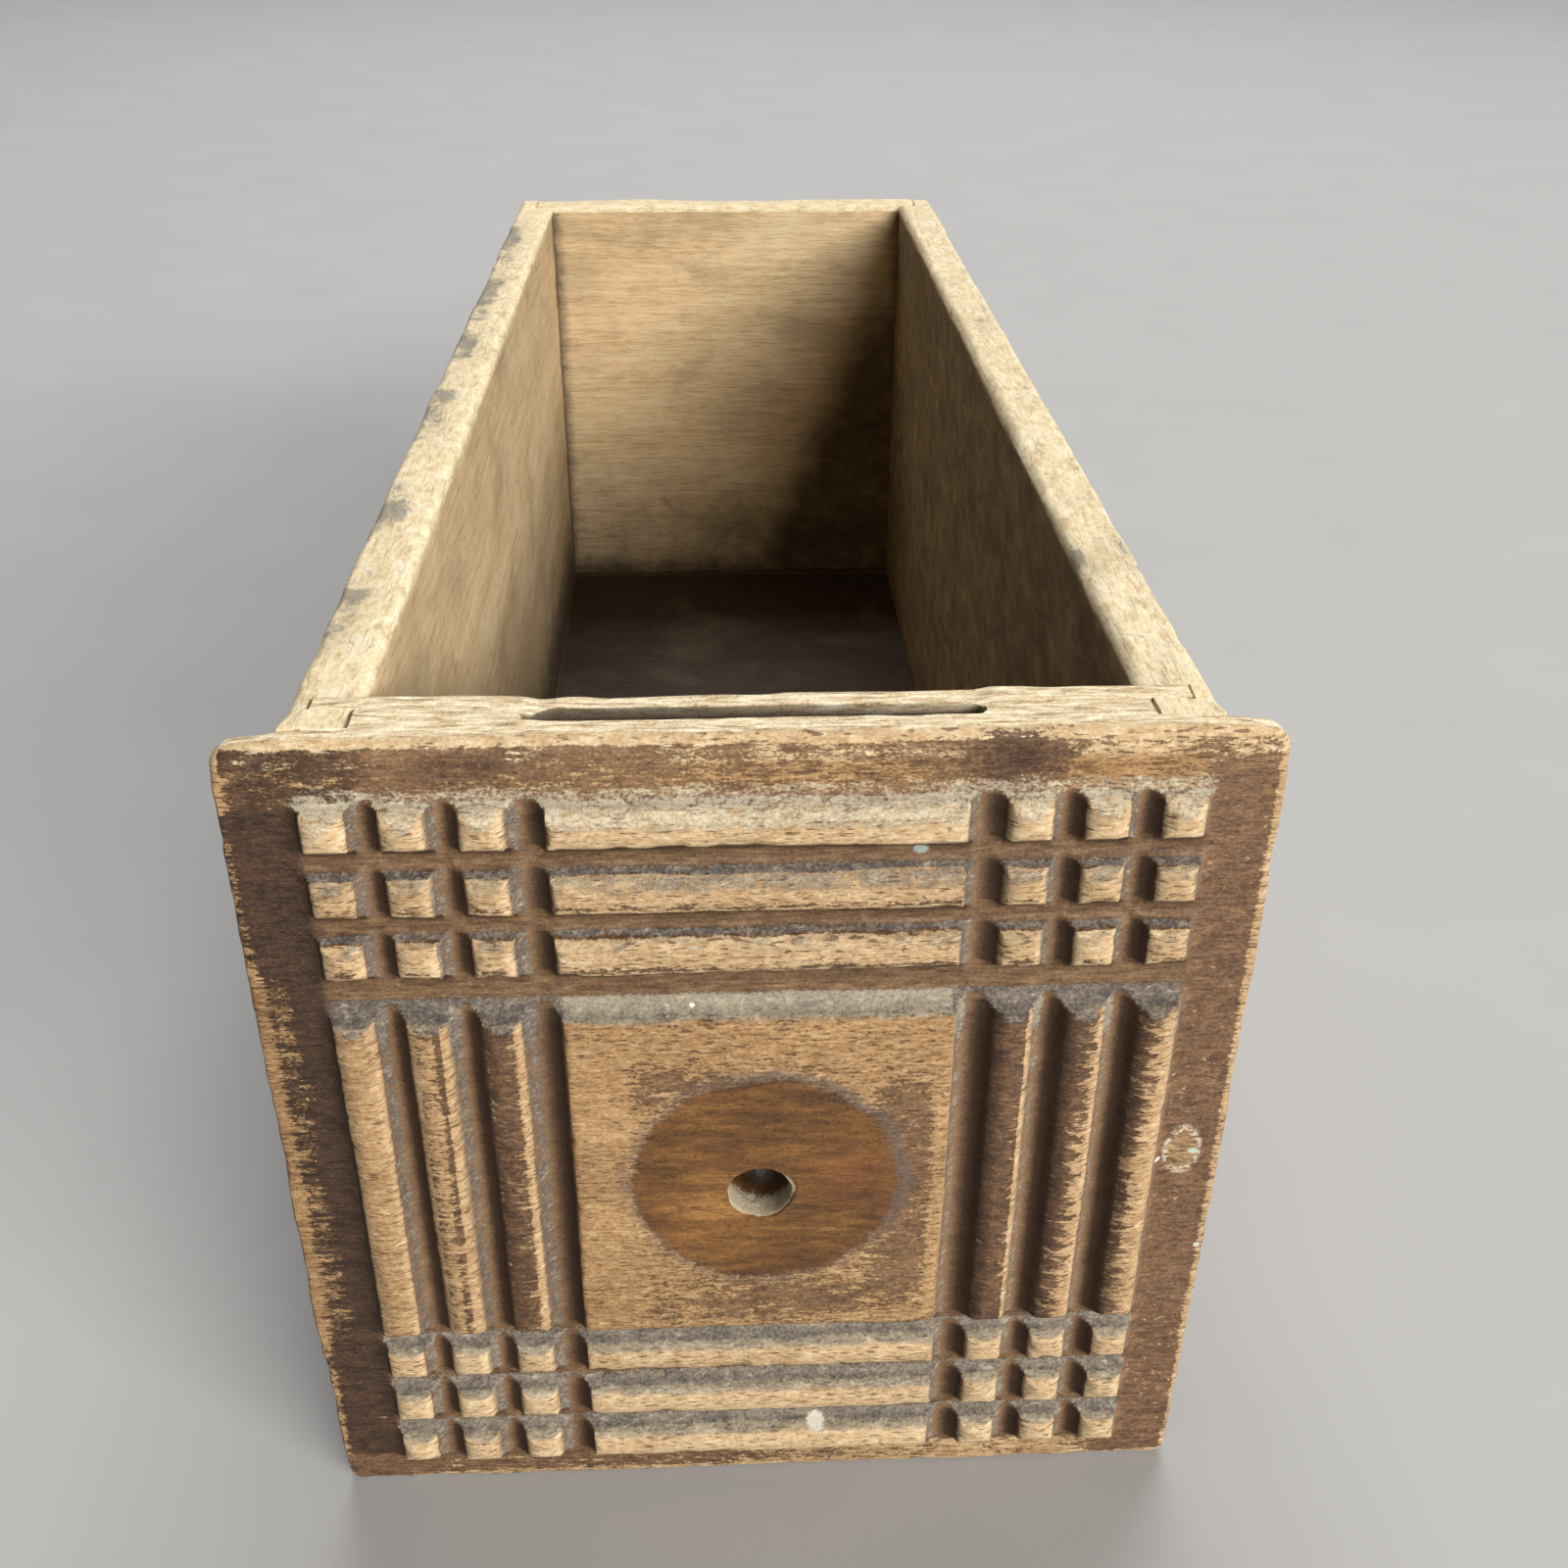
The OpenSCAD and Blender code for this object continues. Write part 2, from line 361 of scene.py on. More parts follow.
def build_front():
    """One closed mesh: a dense carved face, a rim, and a coarser back with its step."""
    slopes_x = [edge for low, high in COLUMNS for edge in (low - 0.8, high + 0.8)]
    slopes_z = [edge for low, high in ROWS for edge in (low - 0.4, high + 0.4)]
    ends_x, ends_z = [-HALF_W, HALF_W], [0.0, TOP_Z]
    xs = grid_lines(-HALF_W, HALF_W, slopes_x + ends_x, 1.6, 0.36, 0.8)
    zs = grid_lines(0.0, TOP_Z, slopes_z + ends_z, 1.4, 0.34, 0.8)
    steps_x, steps_z = [-FRONT_TONGUE_X, FRONT_TONGUE_X], [SIDE_Z]
    xs, zs = with_steps(xs, steps_x), with_steps(zs, steps_z)
    nx, nz = len(xs), len(zs)

    grid_x, grid_z = [g.ravel() for g in np.meshgrid(xs, zs, indexing="ij")]
    inset = np.minimum(HALF_W - np.abs(grid_x), np.minimum(grid_z, TOP_Z - grid_z))
    radius = arris_radius(grid_x, grid_z)
    sunk = np.clip(radius - inset, 0, None)
    arris = radius - np.sqrt(np.clip(radius ** 2 - sunk ** 2, 0, None))
    depth = face_relief(grid_x, grid_z) * smooth(inset / 1.5)
    face = FACE_Y - carve_height(grid_x, grid_z) + depth + arris
    face = np.maximum(face, FRONT_LOW[1])
    round_x, round_z = round_corners(grid_x, grid_z)
    worn_x, worn_z = wear_outline(round_x, face, round_z)
    points = [np.stack([worn_x, face, worn_z], axis=1)]

    def at(i, j):
        return i * nz + j

    faces = []
    for i in range(nx - 1):
        for j in range(nz - 1):
            faces.append((at(i, j), at(i + 1, j), at(i + 1, j + 1), at(i, j + 1)))

    # The rim: rows of points from the face's outline to the back's, all round
    loop = [(i, 0) for i in range(nx)] + [(nx - 1, j) for j in range(1, nz)]
    loop += [(i, nz - 1) for i in range(nx - 2, -1, -1)] + [(0, j) for j in range(nz - 2, 0, -1)]
    loop_at = np.array([at(i, j) for i, j in loop])
    loop_x, loop_z = grid_x[loop_at], grid_z[loop_at]
    flat_x, flat_z = round_x[loop_at], round_z[loop_at]
    start_y = face[loop_at]
    end_y = back_surface(loop_x * 0.99999, loop_z)
    spots = np.stack([loop_x, np.zeros_like(loop_x), loop_z], axis=1)
    ear = (end_y < FRONT_BACK_Y - 1) & (loop_z > TOP_Z - 20)
    back_r = np.where(ear, 0.9, 0.6) * (1 + 0.4 * noise(spots, 6, 21))
    shares = [0.05, 0.12, 0.2, 0.3, 0.4, 0.5, 0.6, 0.7, 0.78, 0.85, 0.9, 0.94, 0.975]
    rows = [loop_at]
    count = nx * nz

    def rim_row(share):
        y = start_y + (end_y - start_y) * share
        sunk = np.clip(back_r - (end_y - y), 0, back_r)
        pull = back_r - np.sqrt(np.clip(back_r ** 2 - sunk ** 2, 0, None))
        side_x = np.where(np.abs(flat_x) > HALF_W - TOP_R, np.sign(-flat_x), 0.0)
        side_z = np.where(flat_z > TOP_Z - TOP_R, -1.0, np.where(flat_z < BOTTOM_R, 1.0, 0.0))
        x, z = wear_outline(flat_x, y, flat_z)
        return np.stack([x + side_x * pull, y, z + side_z * pull], axis=1)

    for share in shares:
        points.append(rim_row(share))
        rows.append(count + np.arange(len(loop)))
        count += len(loop)
    for upper, lower in zip(rows[:-1], rows[1:]):
        for p in range(len(loop)):
            q = (p + 1) % len(loop)
            faces.append((upper[p], lower[p], lower[q], upper[q]))

    # The back: fewer lines, its outline joined to the last rim row by longer faces
    keep_i = every(xs, 6, [s + d for s in steps_x for d in (-0.01, 0.01)], 4.4)
    keep_j = every(zs, 6, [s + d for s in steps_z for d in (-0.01, 0.01)], 4.4)
    back_i, back_j = [g.ravel() for g in np.meshgrid(keep_i, keep_j, indexing="ij")]
    flat = back_i * nz + back_j
    x, z = round_x[flat], round_z[flat]
    y = back_surface(grid_x[flat], grid_z[flat])
    back_points = np.stack([x, y, z], axis=1)
    place = {}
    for n, (i, j) in enumerate(zip(back_i, back_j)):
        place[(i, j)] = count + n
    last = rim_row(1.0)
    corners = []
    for p, spot in enumerate(loop):
        if spot in place:
            back_points[place[spot] - count] = last[p]
            corners.append(p)
    points.append(back_points)
    for a, b in zip(keep_i[:-1], keep_i[1:]):
        for c, d in zip(keep_j[:-1], keep_j[1:]):
            faces.append((place[(a, c)], place[(a, d)], place[(b, d)], place[(b, c)]))
    for n, p in enumerate(corners):
        q = corners[(n + 1) % len(corners)]
        span = [(p + k) % len(loop) for k in range((q - p) % len(loop) + 1)]
        edge = [rows[-1][k] for k in span]
        faces.append(tuple(edge + [place[loop[q]], place[loop[p]]]))
    faces = [tuple(int(v) for v in f) for f in faces]
    return make_object("front_board_worn", np.concatenate(points), faces)


def pull_hole():
    """Cutter for the pull's hole, with its rim broken out a little on the right."""
    mouth = FRONT_LOW[1]
    rings = [(mouth - 2, 0.5), (mouth + 0.1, 0.3), (mouth + 0.45, 0.1), (mouth + 0.9, 0.03)]
    rings += [(mouth + d, 0.02 * math.sin(d)) for d in (1.3, 2.2, 3.5, 5, 7, 9, 12, 15)]
    rings += [(FRONT_BACK_Y - 1, 0.02), (FRONT_BACK_Y + 2, 0.4)]
    sides = 72
    points, faces = [], []
    for y, wider in rings:
        for s in range(sides):
            turn = 2 * math.pi * s / sides
            torn = 0.9 * max(0.0, math.cos(turn - 0.35)) ** 14 * (wider > 0.1) * (y < 0)
            rough = 0.07 * math.sin(5 * turn + 1.3) + 0.05 * math.sin(11 * turn)
            r = PULL_R + wider + torn + rough
            points.append((r * math.cos(turn), y, PULL_Z + r * math.sin(turn)))
    for k in range(len(rings) - 1):
        for s in range(sides):
            t = (s + 1) % sides
            faces.append((k * sides + s, k * sides + t, (k + 1) * sides + t, (k + 1) * sides + s))
    last = (len(rings) - 1) * sides
    faces += [tuple(range(sides)), tuple(range(last + sides - 1, last - 1, -1))]
    return make_object("cutter", np.array(points), faces)


def top_slot():
    """Cutter for the blind slot: ramped at its left end, round at its right, its far edge worn
    down to a ragged slope."""
    steps = 80
    over = 2.0
    points, faces = [], []
    for n in range(steps + 1):
        t = n / steps
        x = SLOT_LEFT + (SLOT_RIGHT - SLOT_LEFT) * t
        ramp = min(1.0, (x - SLOT_LEFT) / SLOT_RAMP)
        floor = TOP_Z - 0.2 - SLOT_DEPTH * max(ramp, 0.5 * min(1.0, (x - SLOT_LEFT) / 3), 0.02)
        tip = max(0.0, x - SLOT_RIGHT + SLOT_W / 2)
        half = math.sqrt(max((SLOT_W / 2) ** 2 - tip ** 2, 0.04))
        half *= 0.6 + 0.4 * min(1.0, (x - SLOT_LEFT) / 4)
        ends = min(1.0, (x - SLOT_LEFT) / 4, (SLOT_RIGHT - x) / 2 + 0.3)
        torn = 0.25 * math.sin(0.35 * x) + 0.16 * math.sin(0.9 * x + 2) + 0.1 * math.sin(2.3 * x)
        bevel = ends * (5.2 + torn - 1.8 * t)
        near = half + 0.25 + 0.12 * math.sin(0.7 * x)
        low = max(floor + 0.1, TOP_Z - 3.2)
        rise = TOP_Z + over - low
        outline = [(-half, floor), (half, floor), (half + 0.1, low)]
        for height in (-2.1, -1.3, -0.95, over):
            outline.append((half + bevel * max(TOP_Z + height - low, 0.1) / rise, TOP_Z + height))
        outline += [(-near, TOP_Z + over), (-half, TOP_Z - 0.9)]
        points += [(x, SLOT_Y + y, z) for y, z in outline]
    count = len(outline)
    for n in range(steps):
        for k in range(count):
            m = (k + 1) % count
            faces.append((n * count + k, n * count + m, (n + 1) * count + m, (n + 1) * count + k))
    last = steps * count
    faces += [tuple(range(count)), tuple(range(last + count - 1, last - 1, -1))]
    return make_object("cutter", np.array(points), faces)


def spot(x, z, at_x, at_z, wide, high):
    """1 in the middle of a soft oval patch of the face, 0 outside it."""
    return np.exp(-(((x - at_x) / wide) ** 2 + ((z - at_z) / high) ** 2))


def top_of(value, bands, n):
    """1 over one band of columns or rows."""
    low, high = bands[n]
    return within(value, low - 1.2, high + 1.2, 1.0)


# The reeds among the rows or columns, three on each side of the field, which is number 3
REEDS = (0, 1, 2, 4, 5, 6)


def mark_front(piece):
    """Where the front is rubbed bare, dusty, deep, shaded and reddish, vertex by vertex."""
    points = points_of(piece)
    x, y, z = points.T
    across, along = column_profile(x), row_profile(z)
    height = np.minimum(across, along)
    carved = in_carving(x, z)
    step = 0.35
    slope_x = column_profile(x + step) - column_profile(x - step)
    slope_z = row_profile(z + step) - row_profile(z - step)
    level_rules = (along < across + 0.02) * carved
    upright_rules = (across < along + 0.02) * carved
    gain = 2.5
    faces_up = np.clip(-slope_z * gain, 0, 1) * level_rules
    faces_down = np.clip(slope_z * gain, 0, 1) * level_rules
    faces_left = np.clip(slope_x * gain, 0, 1) * upright_rules

    tops = smooth((height - 0.56) / 0.16) * carved
    share = np.full(len(x), -1.0)
    for (_, left), (right, _) in zip(COLUMNS[:-1], COLUMNS[1:]):
        between = (x >= left) & (x <= right)
        share[between] = ((x - left) / (right - left))[between]
    channel = (share >= 0) * upright_rules
    lit = channel * (1 - smooth((share - 0.22) / 0.26))
    lit = np.maximum(lit, within(x, CARVE_X - 0.2, CARVE_X + 2.2, 0.8) * upright_rules)
    unlit = channel * smooth((share - 0.40) / 0.26) * (along > 0.3)
    before_first = within(x, -CARVE_X - 2.6, -CARVE_X + 0.2, 1.0)
    unlit = np.maximum(unlit, before_first * upright_rules * (along > 0.3))
    margin = 1 - carved
    left_group, right_group = x < -FIELD_X - 3, x > FIELD_X + 3
    upper_rows, lower_rows = z > FIELD_HIGH + 4, z < FIELD_LOW - 2
    middle_rows = ~upper_rows & ~lower_rows

    bare_top = np.full(len(x), 0.62)
    bare_top[upper_rows] = 0.70
    bare_top += 0.24 * top_of(z, ROWS, 6) + 0.03 * top_of(z, ROWS, 5)
    bare_top[lower_rows] = 0.90
    down = np.clip((FIELD_HIGH - z) / (FIELD_HIGH - FIELD_LOW), 0, 1)
    for n, middle, tilt, lower in ((0, 0.84, 0.06, 0.0), (1, 0.64, 0.10, 0.0), (2, 0.40, 0.12, 0.0),
                                   (4, 0.10, 0.26, 0.08), (5, 0.30, 0.38, 0.26),
                                   (6, 0.52, 0.40, 0.14)):
        low, high = COLUMNS[n]
        across_reed = np.clip((2 * x - low - high) / (high - low), -1.2, 1.2)
        share = middle + tilt * across_reed + lower * down
        if n >= 4:
            share = np.maximum(share, 0.95 * smooth((across_reed - 0.66) / 0.2))
        if n == 1:
            share -= 0.55 * np.exp(-((across_reed - 0.42 + 0.1 * down) / 0.13) ** 2)
        column = top_of(x, COLUMNS, n) * middle_rows
        bare_top = bare_top * (1 - column) + share * column
    field = within(x, -FIELD_X, FIELD_X, 2) * within(z, FIELD_LOW, FIELD_HIGH, 2)
    bare_top += field * 0.04 * smooth((z - 88) / 6)
    bare_top += field * 0.25 * within(x, -30, -20, 5)
    bare_top += field * 0.10 * within(x, 25.5, 30, 1.5)
    bare_top -= field * 0.20 * within(x, 17, 26, 6) * within(z, 46, 88, 10)
    bare_top -= field * 0.16 * spot(x, z, -14, 89, 11, 4.5)
    bare_top -= field * 0.20 * spot(x, z, 4, 44.5, 18, 4)

    bare_margin = np.full(len(x), 0.30)
    top_side = z > CARVE_HIGH
    bare_margin[top_side] = 0.43
    bare_margin += top_side * (0.06 * spot(x, z, -30, 137, 16, 3) + 0.2 * spot(x, z, 48, 136, 9, 2.5))
    bare_margin += top_side * (0.16 * spot(x, z, 8, 138, 20, 5) - 0.22 * spot(x, z, 34, 141, 6, 4))
    bare_margin += top_side * 0.14 * spot(x, z, 48, 139, 7, 4)
    bare_margin -= top_side * 0.10 * spot(x, z, -38, 141, 14, 3)
    bare_margin += top_side * 0.12 * smooth((x - 38) / 8)
    left_edge = x < -CARVE_X
    dashes = within(z, 36, 108, 12)
    outer = 1 - smooth((x + HALF_W - 4.0) / 3.5)
    bare_margin = np.where(left_edge & ~top_side, 0.22 - 0.08 * dashes * (1 - outer), bare_margin)
    bare_margin += left_edge * (1 - dashes) * (z < 60) * 0.10 + left_edge * 0.28 * dashes * outer
    right_edge = x > CARVE_X
    right_share = smooth((x - CARVE_X + 1) / 3) * (1 - smooth((z - 135.5) / 6))
    bare_margin = bare_margin * (1 - right_share) + 0.16 * right_share
    bare_margin += right_edge * (0.2 * spot(x, z, 67, 34, 4, 6) + 0.1 * spot(x, z, 66, 112, 4, 14))
    bottom = 1 - smooth((z - CARVE_LOW + 3) / 3)
    bare_bottom = 0.44 + 0.16 * smooth((x + 10) / 25) - 0.24 * smooth((np.abs(x) - 52) / 9)
    bare_margin = bare_margin * (1 - bottom) + bare_bottom * bottom

    inset = np.minimum(HALF_W - np.abs(x), np.minimum(z, TOP_Z - z))
    rim_share = np.where(right_edge, 0.5, np.where(left_edge, 0.28, 0.34))
    dark_top = within(x, 28, 40, 4) + 0.6 * within(x, -52, -24, 5)
    rim_share = np.where(TOP_Z - z < 5, 0.42 - 0.2 * dark_top, rim_share)
    rim_width = np.where(TOP_Z - z < 5, 0.8, 1.6)
    bare_margin += rim_share * (1 - smooth((inset - 0.4) / rim_width))

    for n in REEDS:
        low, high = ROWS[n]
        bare_top -= (0.24 if n > 3 else 0.12) * within(z, low - 1, low + 1.7, 1.8) * level_rules
    bare = bare_top * tops + bare_margin * margin + 0.12 * (1 - tops) * carved

    deep = (1 - smooth(height / 0.75)) * carved
    upper_part = np.zeros(len(x))
    for n, share in ((0, 0.08), (1, 0.10), (2, 0.10), (4, 0.34), (5, 0.46), (6, 0.30)):
        low, high = ROWS[n]
        upper_part += share * within(z, high - 2.4, high + 1.0, 2.0)
    dip = np.zeros(len(x))
    for n in REEDS:
        low, high = COLUMNS[n]
        dip += 1.5 * np.clip(1 - ((2 * x - low - high) / (high - low)) ** 2, 0, 1)
    crown = smooth((z - FIELD_HIGH + 0.9 + dip) / 1.8) * within(z, 0, FIELD_HIGH + 3.4, 0.9)
    crown = crown * middle_rows * level_rules
    ledge = smooth((along - 0.05) / 0.12) * (1 - 0.75 * smooth((along - 0.40) / 0.22))
    dust = 0.70 * faces_up * ledge + upper_part * tops + 0.10 * deep
    dust += lit * np.where(upper_rows | lower_rows, 0.48, np.where(x < 0, 0.44, 0.36))
    dust += 0.35 * lit * within(z, FIELD_HIGH - 4, FIELD_HIGH + 4, 4)
    for n in (0, 1, 2):
        dust += 0.55 * within(z, ROWS[n][1] - 0.9, ROWS[n][1] + 2.3, 1.7) * level_rules
    near_top_row = within(z, CARVE_HIGH - 3, CARVE_HIGH + 5, 1)
    dust = np.clip(dust + 0.25 * near_top_row * level_rules, 0, 0.82 - 0.24 * near_top_row)
    dust = np.maximum(dust, 0.78 * crown)
    above = within(z, CARVE_HIGH - 0.5, CARVE_HIGH + 3.4, 3.2) * within(x, -62, 62, 4)
    dust += 0.50 * above * margin
    tone = np.where(upper_rows, 0.12, np.where(lower_rows, 0.22, 0.10))
    tone = tone + 0.66 * smooth((z - CARVE_HIGH + 4) / 3) * (1 - lit) + 0.08 * tops
    tone += 0.36 * crown * (np.abs(x) < FIELD_X) + 0.26 * lit * (middle_rows & (x > 0))

    under = np.zeros(len(x))
    for low, high in ROWS:
        under += within(z, low - 1.4, low + 0.3, 0.6) + 0.35 * within(z, low - 3.0, low - 1.0, 1.6)
    shade = 0.95 * np.maximum(unlit * (1 - tops), 0.8 * faces_left)
    shade = np.maximum(shade, 0.85 * under * level_rules * (across > 0.25))
    left_part = np.zeros(len(x))
    for n in (4, 5, 6):
        low, high = COLUMNS[n]
        left_part += within(x, low - 1.5, low + 1.7, 1.6)
    shade = shade + 0.42 * left_part * tops * middle_rows + 0.2 * left_edge * dashes * margin
    red = np.where(right_edge, 0.30, np.where(left_edge, 0.30, 0.18))
    red = red + 0.06 * right_group * tops
    pale = 0.75 * top_of(z, ROWS, 6) + 0.50 * top_of(z, ROWS, 5) + 0.62 * top_of(z, ROWS, 4)
    pale += 0.75 * top_of(z, ROWS, 2) + 0.85 * top_of(z, ROWS, 1) + 0.95 * top_of(z, ROWS, 0)
    pale += middle_rows * (0.14 * left_group + 0.26 * right_group)
    arris = smooth((height - 0.5) / 0.2) * (1 - smooth((height - 0.86) / 0.06)) * carved
    hip = (1 - smooth(np.abs(across - along) / 0.09)) * smooth((height - 0.3) / 0.2)
    hip = hip * (1 - smooth((height - 0.86) / 0.06)) * carved
    pale = pale * carved + 0.3 * arris + 0.9 * (TOP_Z - z < 3.5) + 0.4 * right_edge
    pale = pale + 0.3 * (z < CARVE_LOW - 1)
    bare += 0.25 * arris * (1 - faces_left) * (1 - faces_down) + 0.30 * hip
    dust -= 0.45 * hip
    shade -= 0.3 * hip
    tint = np.where(top_side, 0.68, np.where(left_edge, 0.20, np.where(right_edge, 0.54, 0.45)))
    tint = tint + top_side * (-0.42 * spot(x, z, 34, 140.5, 6, 4) - 0.25 * spot(x, z, -38, 140, 9, 3))
    tint = tint - 0.36 * top_side * smooth((-48 - x) / 9) + 0.14 * field
    tint = tint * (1 - right_share) + 0.54 * right_share
    tint = np.where(z < CARVE_LOW - 1, 0.5, tint)

    in_hole = np.hypot(x, z - PULL_Z) < PULL_R + 1.0
    inner = (y > FACE_Y + 2.2) & ~in_hole
    in_slot = (x > SLOT_LEFT - 0.3) & (x < SLOT_RIGHT + 0.3)
    in_slot &= (y > SLOT_Y - SLOT_W) & (y < SLOT_Y + SLOT_W + 2.2)
    in_slot &= (z < TOP_Z - 0.85) & (z > TOP_Z - 8)
    hollow = (in_hole & (y > FRONT_LOW[1] + 0.42)) | in_slot
    top_face = smooth((z - TOP_Z + 2.6) / 1.2)
    bare = np.where(inner & ~hollow, 0.35 + 0.6 * top_face, bare)
    bare = np.where(hollow, 0.35, bare)
    dust = np.where(inner, 0.12 * (1 - top_face), dust)
    # Painted shade with depth behind the face: in the pull's hole the dust thins, the dust's tone
    # darkens and the shade grows deeper in; the slot's dust tone is darkened too.
    painted_depth_shade = smooth((y - FRONT_LOW[1] - 1.5) / 6)
    dust = np.where(hollow & in_hole, 0.9 * (1 - painted_depth_shade), dust)
    tone = np.where(hollow, 0.85 - 0.5 * painted_depth_shade, tone)
    shade = np.where(inner, 0.0, shade)
    # Painted shade down the slot's walls, from just below the rim, a little lighter towards the
    # right.
    sunk = smooth((TOP_Z - z - 0.3) / 0.8) * (1 - 0.3 * smooth((x + 8) / 36) * (z > TOP_Z - 1.6))
    shade = np.where(hollow & in_hole, painted_depth_shade, shade)
    deep = np.where(inner | in_hole, 0.0, deep)
    # From here on 'hollow' holds only the slot's painted shade.
    hollow = np.where(hollow & in_slot, sunk, 0.0)
    note(piece, bare=bare, dust=dust, deep=deep, shade=shade, red=red, inside=inner * 1.0,
         topface=top_face, hollow=hollow * 1.0, tint=tint, tone=tone, pale=pale,
         glossy=right_edge * margin * 1.0, level=level_rules * 1.0, lit=lit,
         ladder=right_group * tops * middle_rows)


def front_board():
    piece = build_front()
    for side in (-1, 1):
        ends = sorted((side * (CORE_X - JOINT_GAP), side * (FRONT_TONGUE_X + 0.2)))
        cut_box(piece, (ends[0], LIP_Y, SIDE_Z), (ends[1], FRONT_TONGUE_Y, TOP_Z + 5))
    cut_box(piece, (-80, FRONT_BACK_Y - 4.8, PANEL_LOW[2] - PLAY),
            (80, FRONT_BACK_Y + 5, PANEL_HIGH[2] + PLAY))
    cut(piece, pull_hole())
    cut(piece, top_slot())
    mark_front(piece)
    return piece


# ---------- other boards ----------

def worn_box(name, low, high, steps, radius_of, worn_of):
    """A closed board with grid lines close together near its arrises, rounded by radius_of, and
    moved by worn_of, which both take the points. steps is the (x, y, z) spacing inside."""
    lines = []
    for a in range(3):
        near = [low[a], high[a]]
        lines.append(grid_lines(low[a], high[a], near, 2.4, 0.4, steps[a]))
    points, faces = shell(*lines)
    radius = np.minimum(radius_of(points), (np.array(high) - low).min() / 2 - 0.2)[:, None]
    core = np.clip(points, low + radius, high - radius)
    away = points - core
    length = np.linalg.norm(away, axis=1)[:, None]
    points = core + away * radius / np.maximum(length, 1e-9)
    return make_object(name, points + worn_of(points), faces)


def side_wear(points, sign):
    """A side board's top is wavy and dented; its faces are nearly flat."""
    x, y, z = points.T
    top = smooth((z - TOP_Z + 3.5) / 3)
    waves = 0.35 + 0.3 * noise(points, (30, 37, 30), 31 + sign) + 0.2 * noise(points, (4, 9, 9), 33)
    dents = np.clip(noise(points, (5, 6.5, 6), 35 + sign) - 0.35, 0, 1)
    fibres = 0.07 * noise(points, (0.9, 12, 6), 37)
    moved = np.zeros_like(points)
    front_end = smooth((y - SIDE_LOW[1]) / 12)
    moved[:, 2] = -top * (np.clip(waves, 0, 1) * (0.4 + 0.6 * front_end) + 0.7 * dents + fibres)
    inward = np.sign(x) * (np.abs(x) - (SIDE_LOW[0] + SIDE_HIGH[0]) / 2)
    lean = 0.12 * noise(points, (9, 16, 9), 39 + sign) + 0.05 * noise(points, (3, 9, 0.9), 41)
    moved[:, 0] = -np.sign(inward) * np.clip(lean + 0.08, 0, 1)
    return moved


def side_radius(points):
    x, y, z = points.T
    top = smooth((z - TOP_Z + 6) / 3)
    inner = smooth((INNER_X + 5 - np.abs(x)) / 2)
    radius = 0.7 + top * (0.7 + 0.5 * inner) + 0.5 * top * noise(points, 7, 43)
    joint = 1 - smooth((y - SIDE_LOW[1]) / 6)
    return np.clip(radius * (1 - 0.75 * joint), 0.2, 2.6)


def side_board(name, sign):
    """A side: tongue behind the lip, dado, groove for the panel and rabbet for the back."""
    ends = sorted((sign * SIDE_LOW[0], sign * SIDE_HIGH[0]))
    low = np.array([ends[0], SIDE_LOW[1], SIDE_Z])
    high = np.array([ends[1], SIDE_HIGH[1], TOP_Z])

    def wear(points):
        return side_wear(points, 1 if sign > 0 else 0)

    piece = worn_box(name, low, high, (1.0, 1.7, 2.6), side_radius, wear)

    def mirrored(x0, x1, y0, y1, z0, z1):
        a, b = sorted((sign * x0, sign * x1))
        cut_box(piece, (a, y0, z0), (b, y1, z1))

    inside = INNER_X - 1
    past = TOP_Z + 5
    mirrored(inside, SIDE_TONGUE_X, LIP_Y - 2, FRONT_TONGUE_Y, SIDE_Z - 1, past)
    mirrored(inside, FRONT_TONGUE_X + JOINT_GAP, FRONT_TONGUE_Y - 0.05, FRONT_BACK_Y + PLAY,
             SIDE_Z - 1, past)
    mirrored(inside, INNER_X + 4.8, LIP_Y - 1, SIDE_HIGH[1] + 1, PANEL_LOW[2] - PLAY,
             PANEL_HIGH[2] + PLAY)
    mirrored(inside, RABBET_X + PLAY, BACK_LOW[1] - PLAY, SIDE_HIGH[1] + 1, SIDE_Z - 1, past)
    mark_board(piece, sign)
    return piece


def back_radius(points):
    """Edge radius over the back board: small, and larger along its inner top edge."""
    y, z = points[:, 1], points[:, 2]
    inner_top = smooth((z - TOP_Z + 7) / 3) * smooth((BACK_LOW[1] + 5 - y) / 2)
    return np.clip(0.6 + 2.2 * inner_top + 0.4 * noise(points, 9, 51), 0.2, 3.4)


def back_wear(points):
    """How far wear moves the back board's surface: the top worn down, the faces a little wavy."""
    top = smooth((points[:, 2] - TOP_Z + 3.5) / 3)
    waves = 0.4 + 0.3 * noise(points, (29, 20, 20), 53) + 0.15 * noise(points, (6, 4, 6), 54)
    moved = np.zeros_like(points)
    moved[:, 2] = -top * np.clip(waves, 0, 1)
    moved[:, 1] = 0.06 * noise(points, (14, 9, 1.2), 55)
    return moved


def back_board():
    low, high = BACK_LOW.copy(), BACK_HIGH.copy()
    low[1] += 0.1
    high[1] -= 0.1
    piece = worn_box("back_board_worn", low, high, (2.0, 1.2, 2.4), back_radius, back_wear)
    mark_board(piece, 0)
    return piece


def bottom_panel():
    def radius(points):
        return np.full(len(points), 0.5)

    def wear(points):
        moved = np.zeros_like(points)
        moved[:, 2] = 0.05 * noise(points, (2.0, 25, 9), 61)
        return moved

    low, high = PANEL_LOW.copy(), PANEL_HIGH.copy()
    low[2] += 0.06
    high[2] -= 0.06
    piece = worn_box("bottom_panel_worn", low, high, (2.4, 4.5, 1.4), radius, wear)
    mark_board(piece, 0)
    return piece


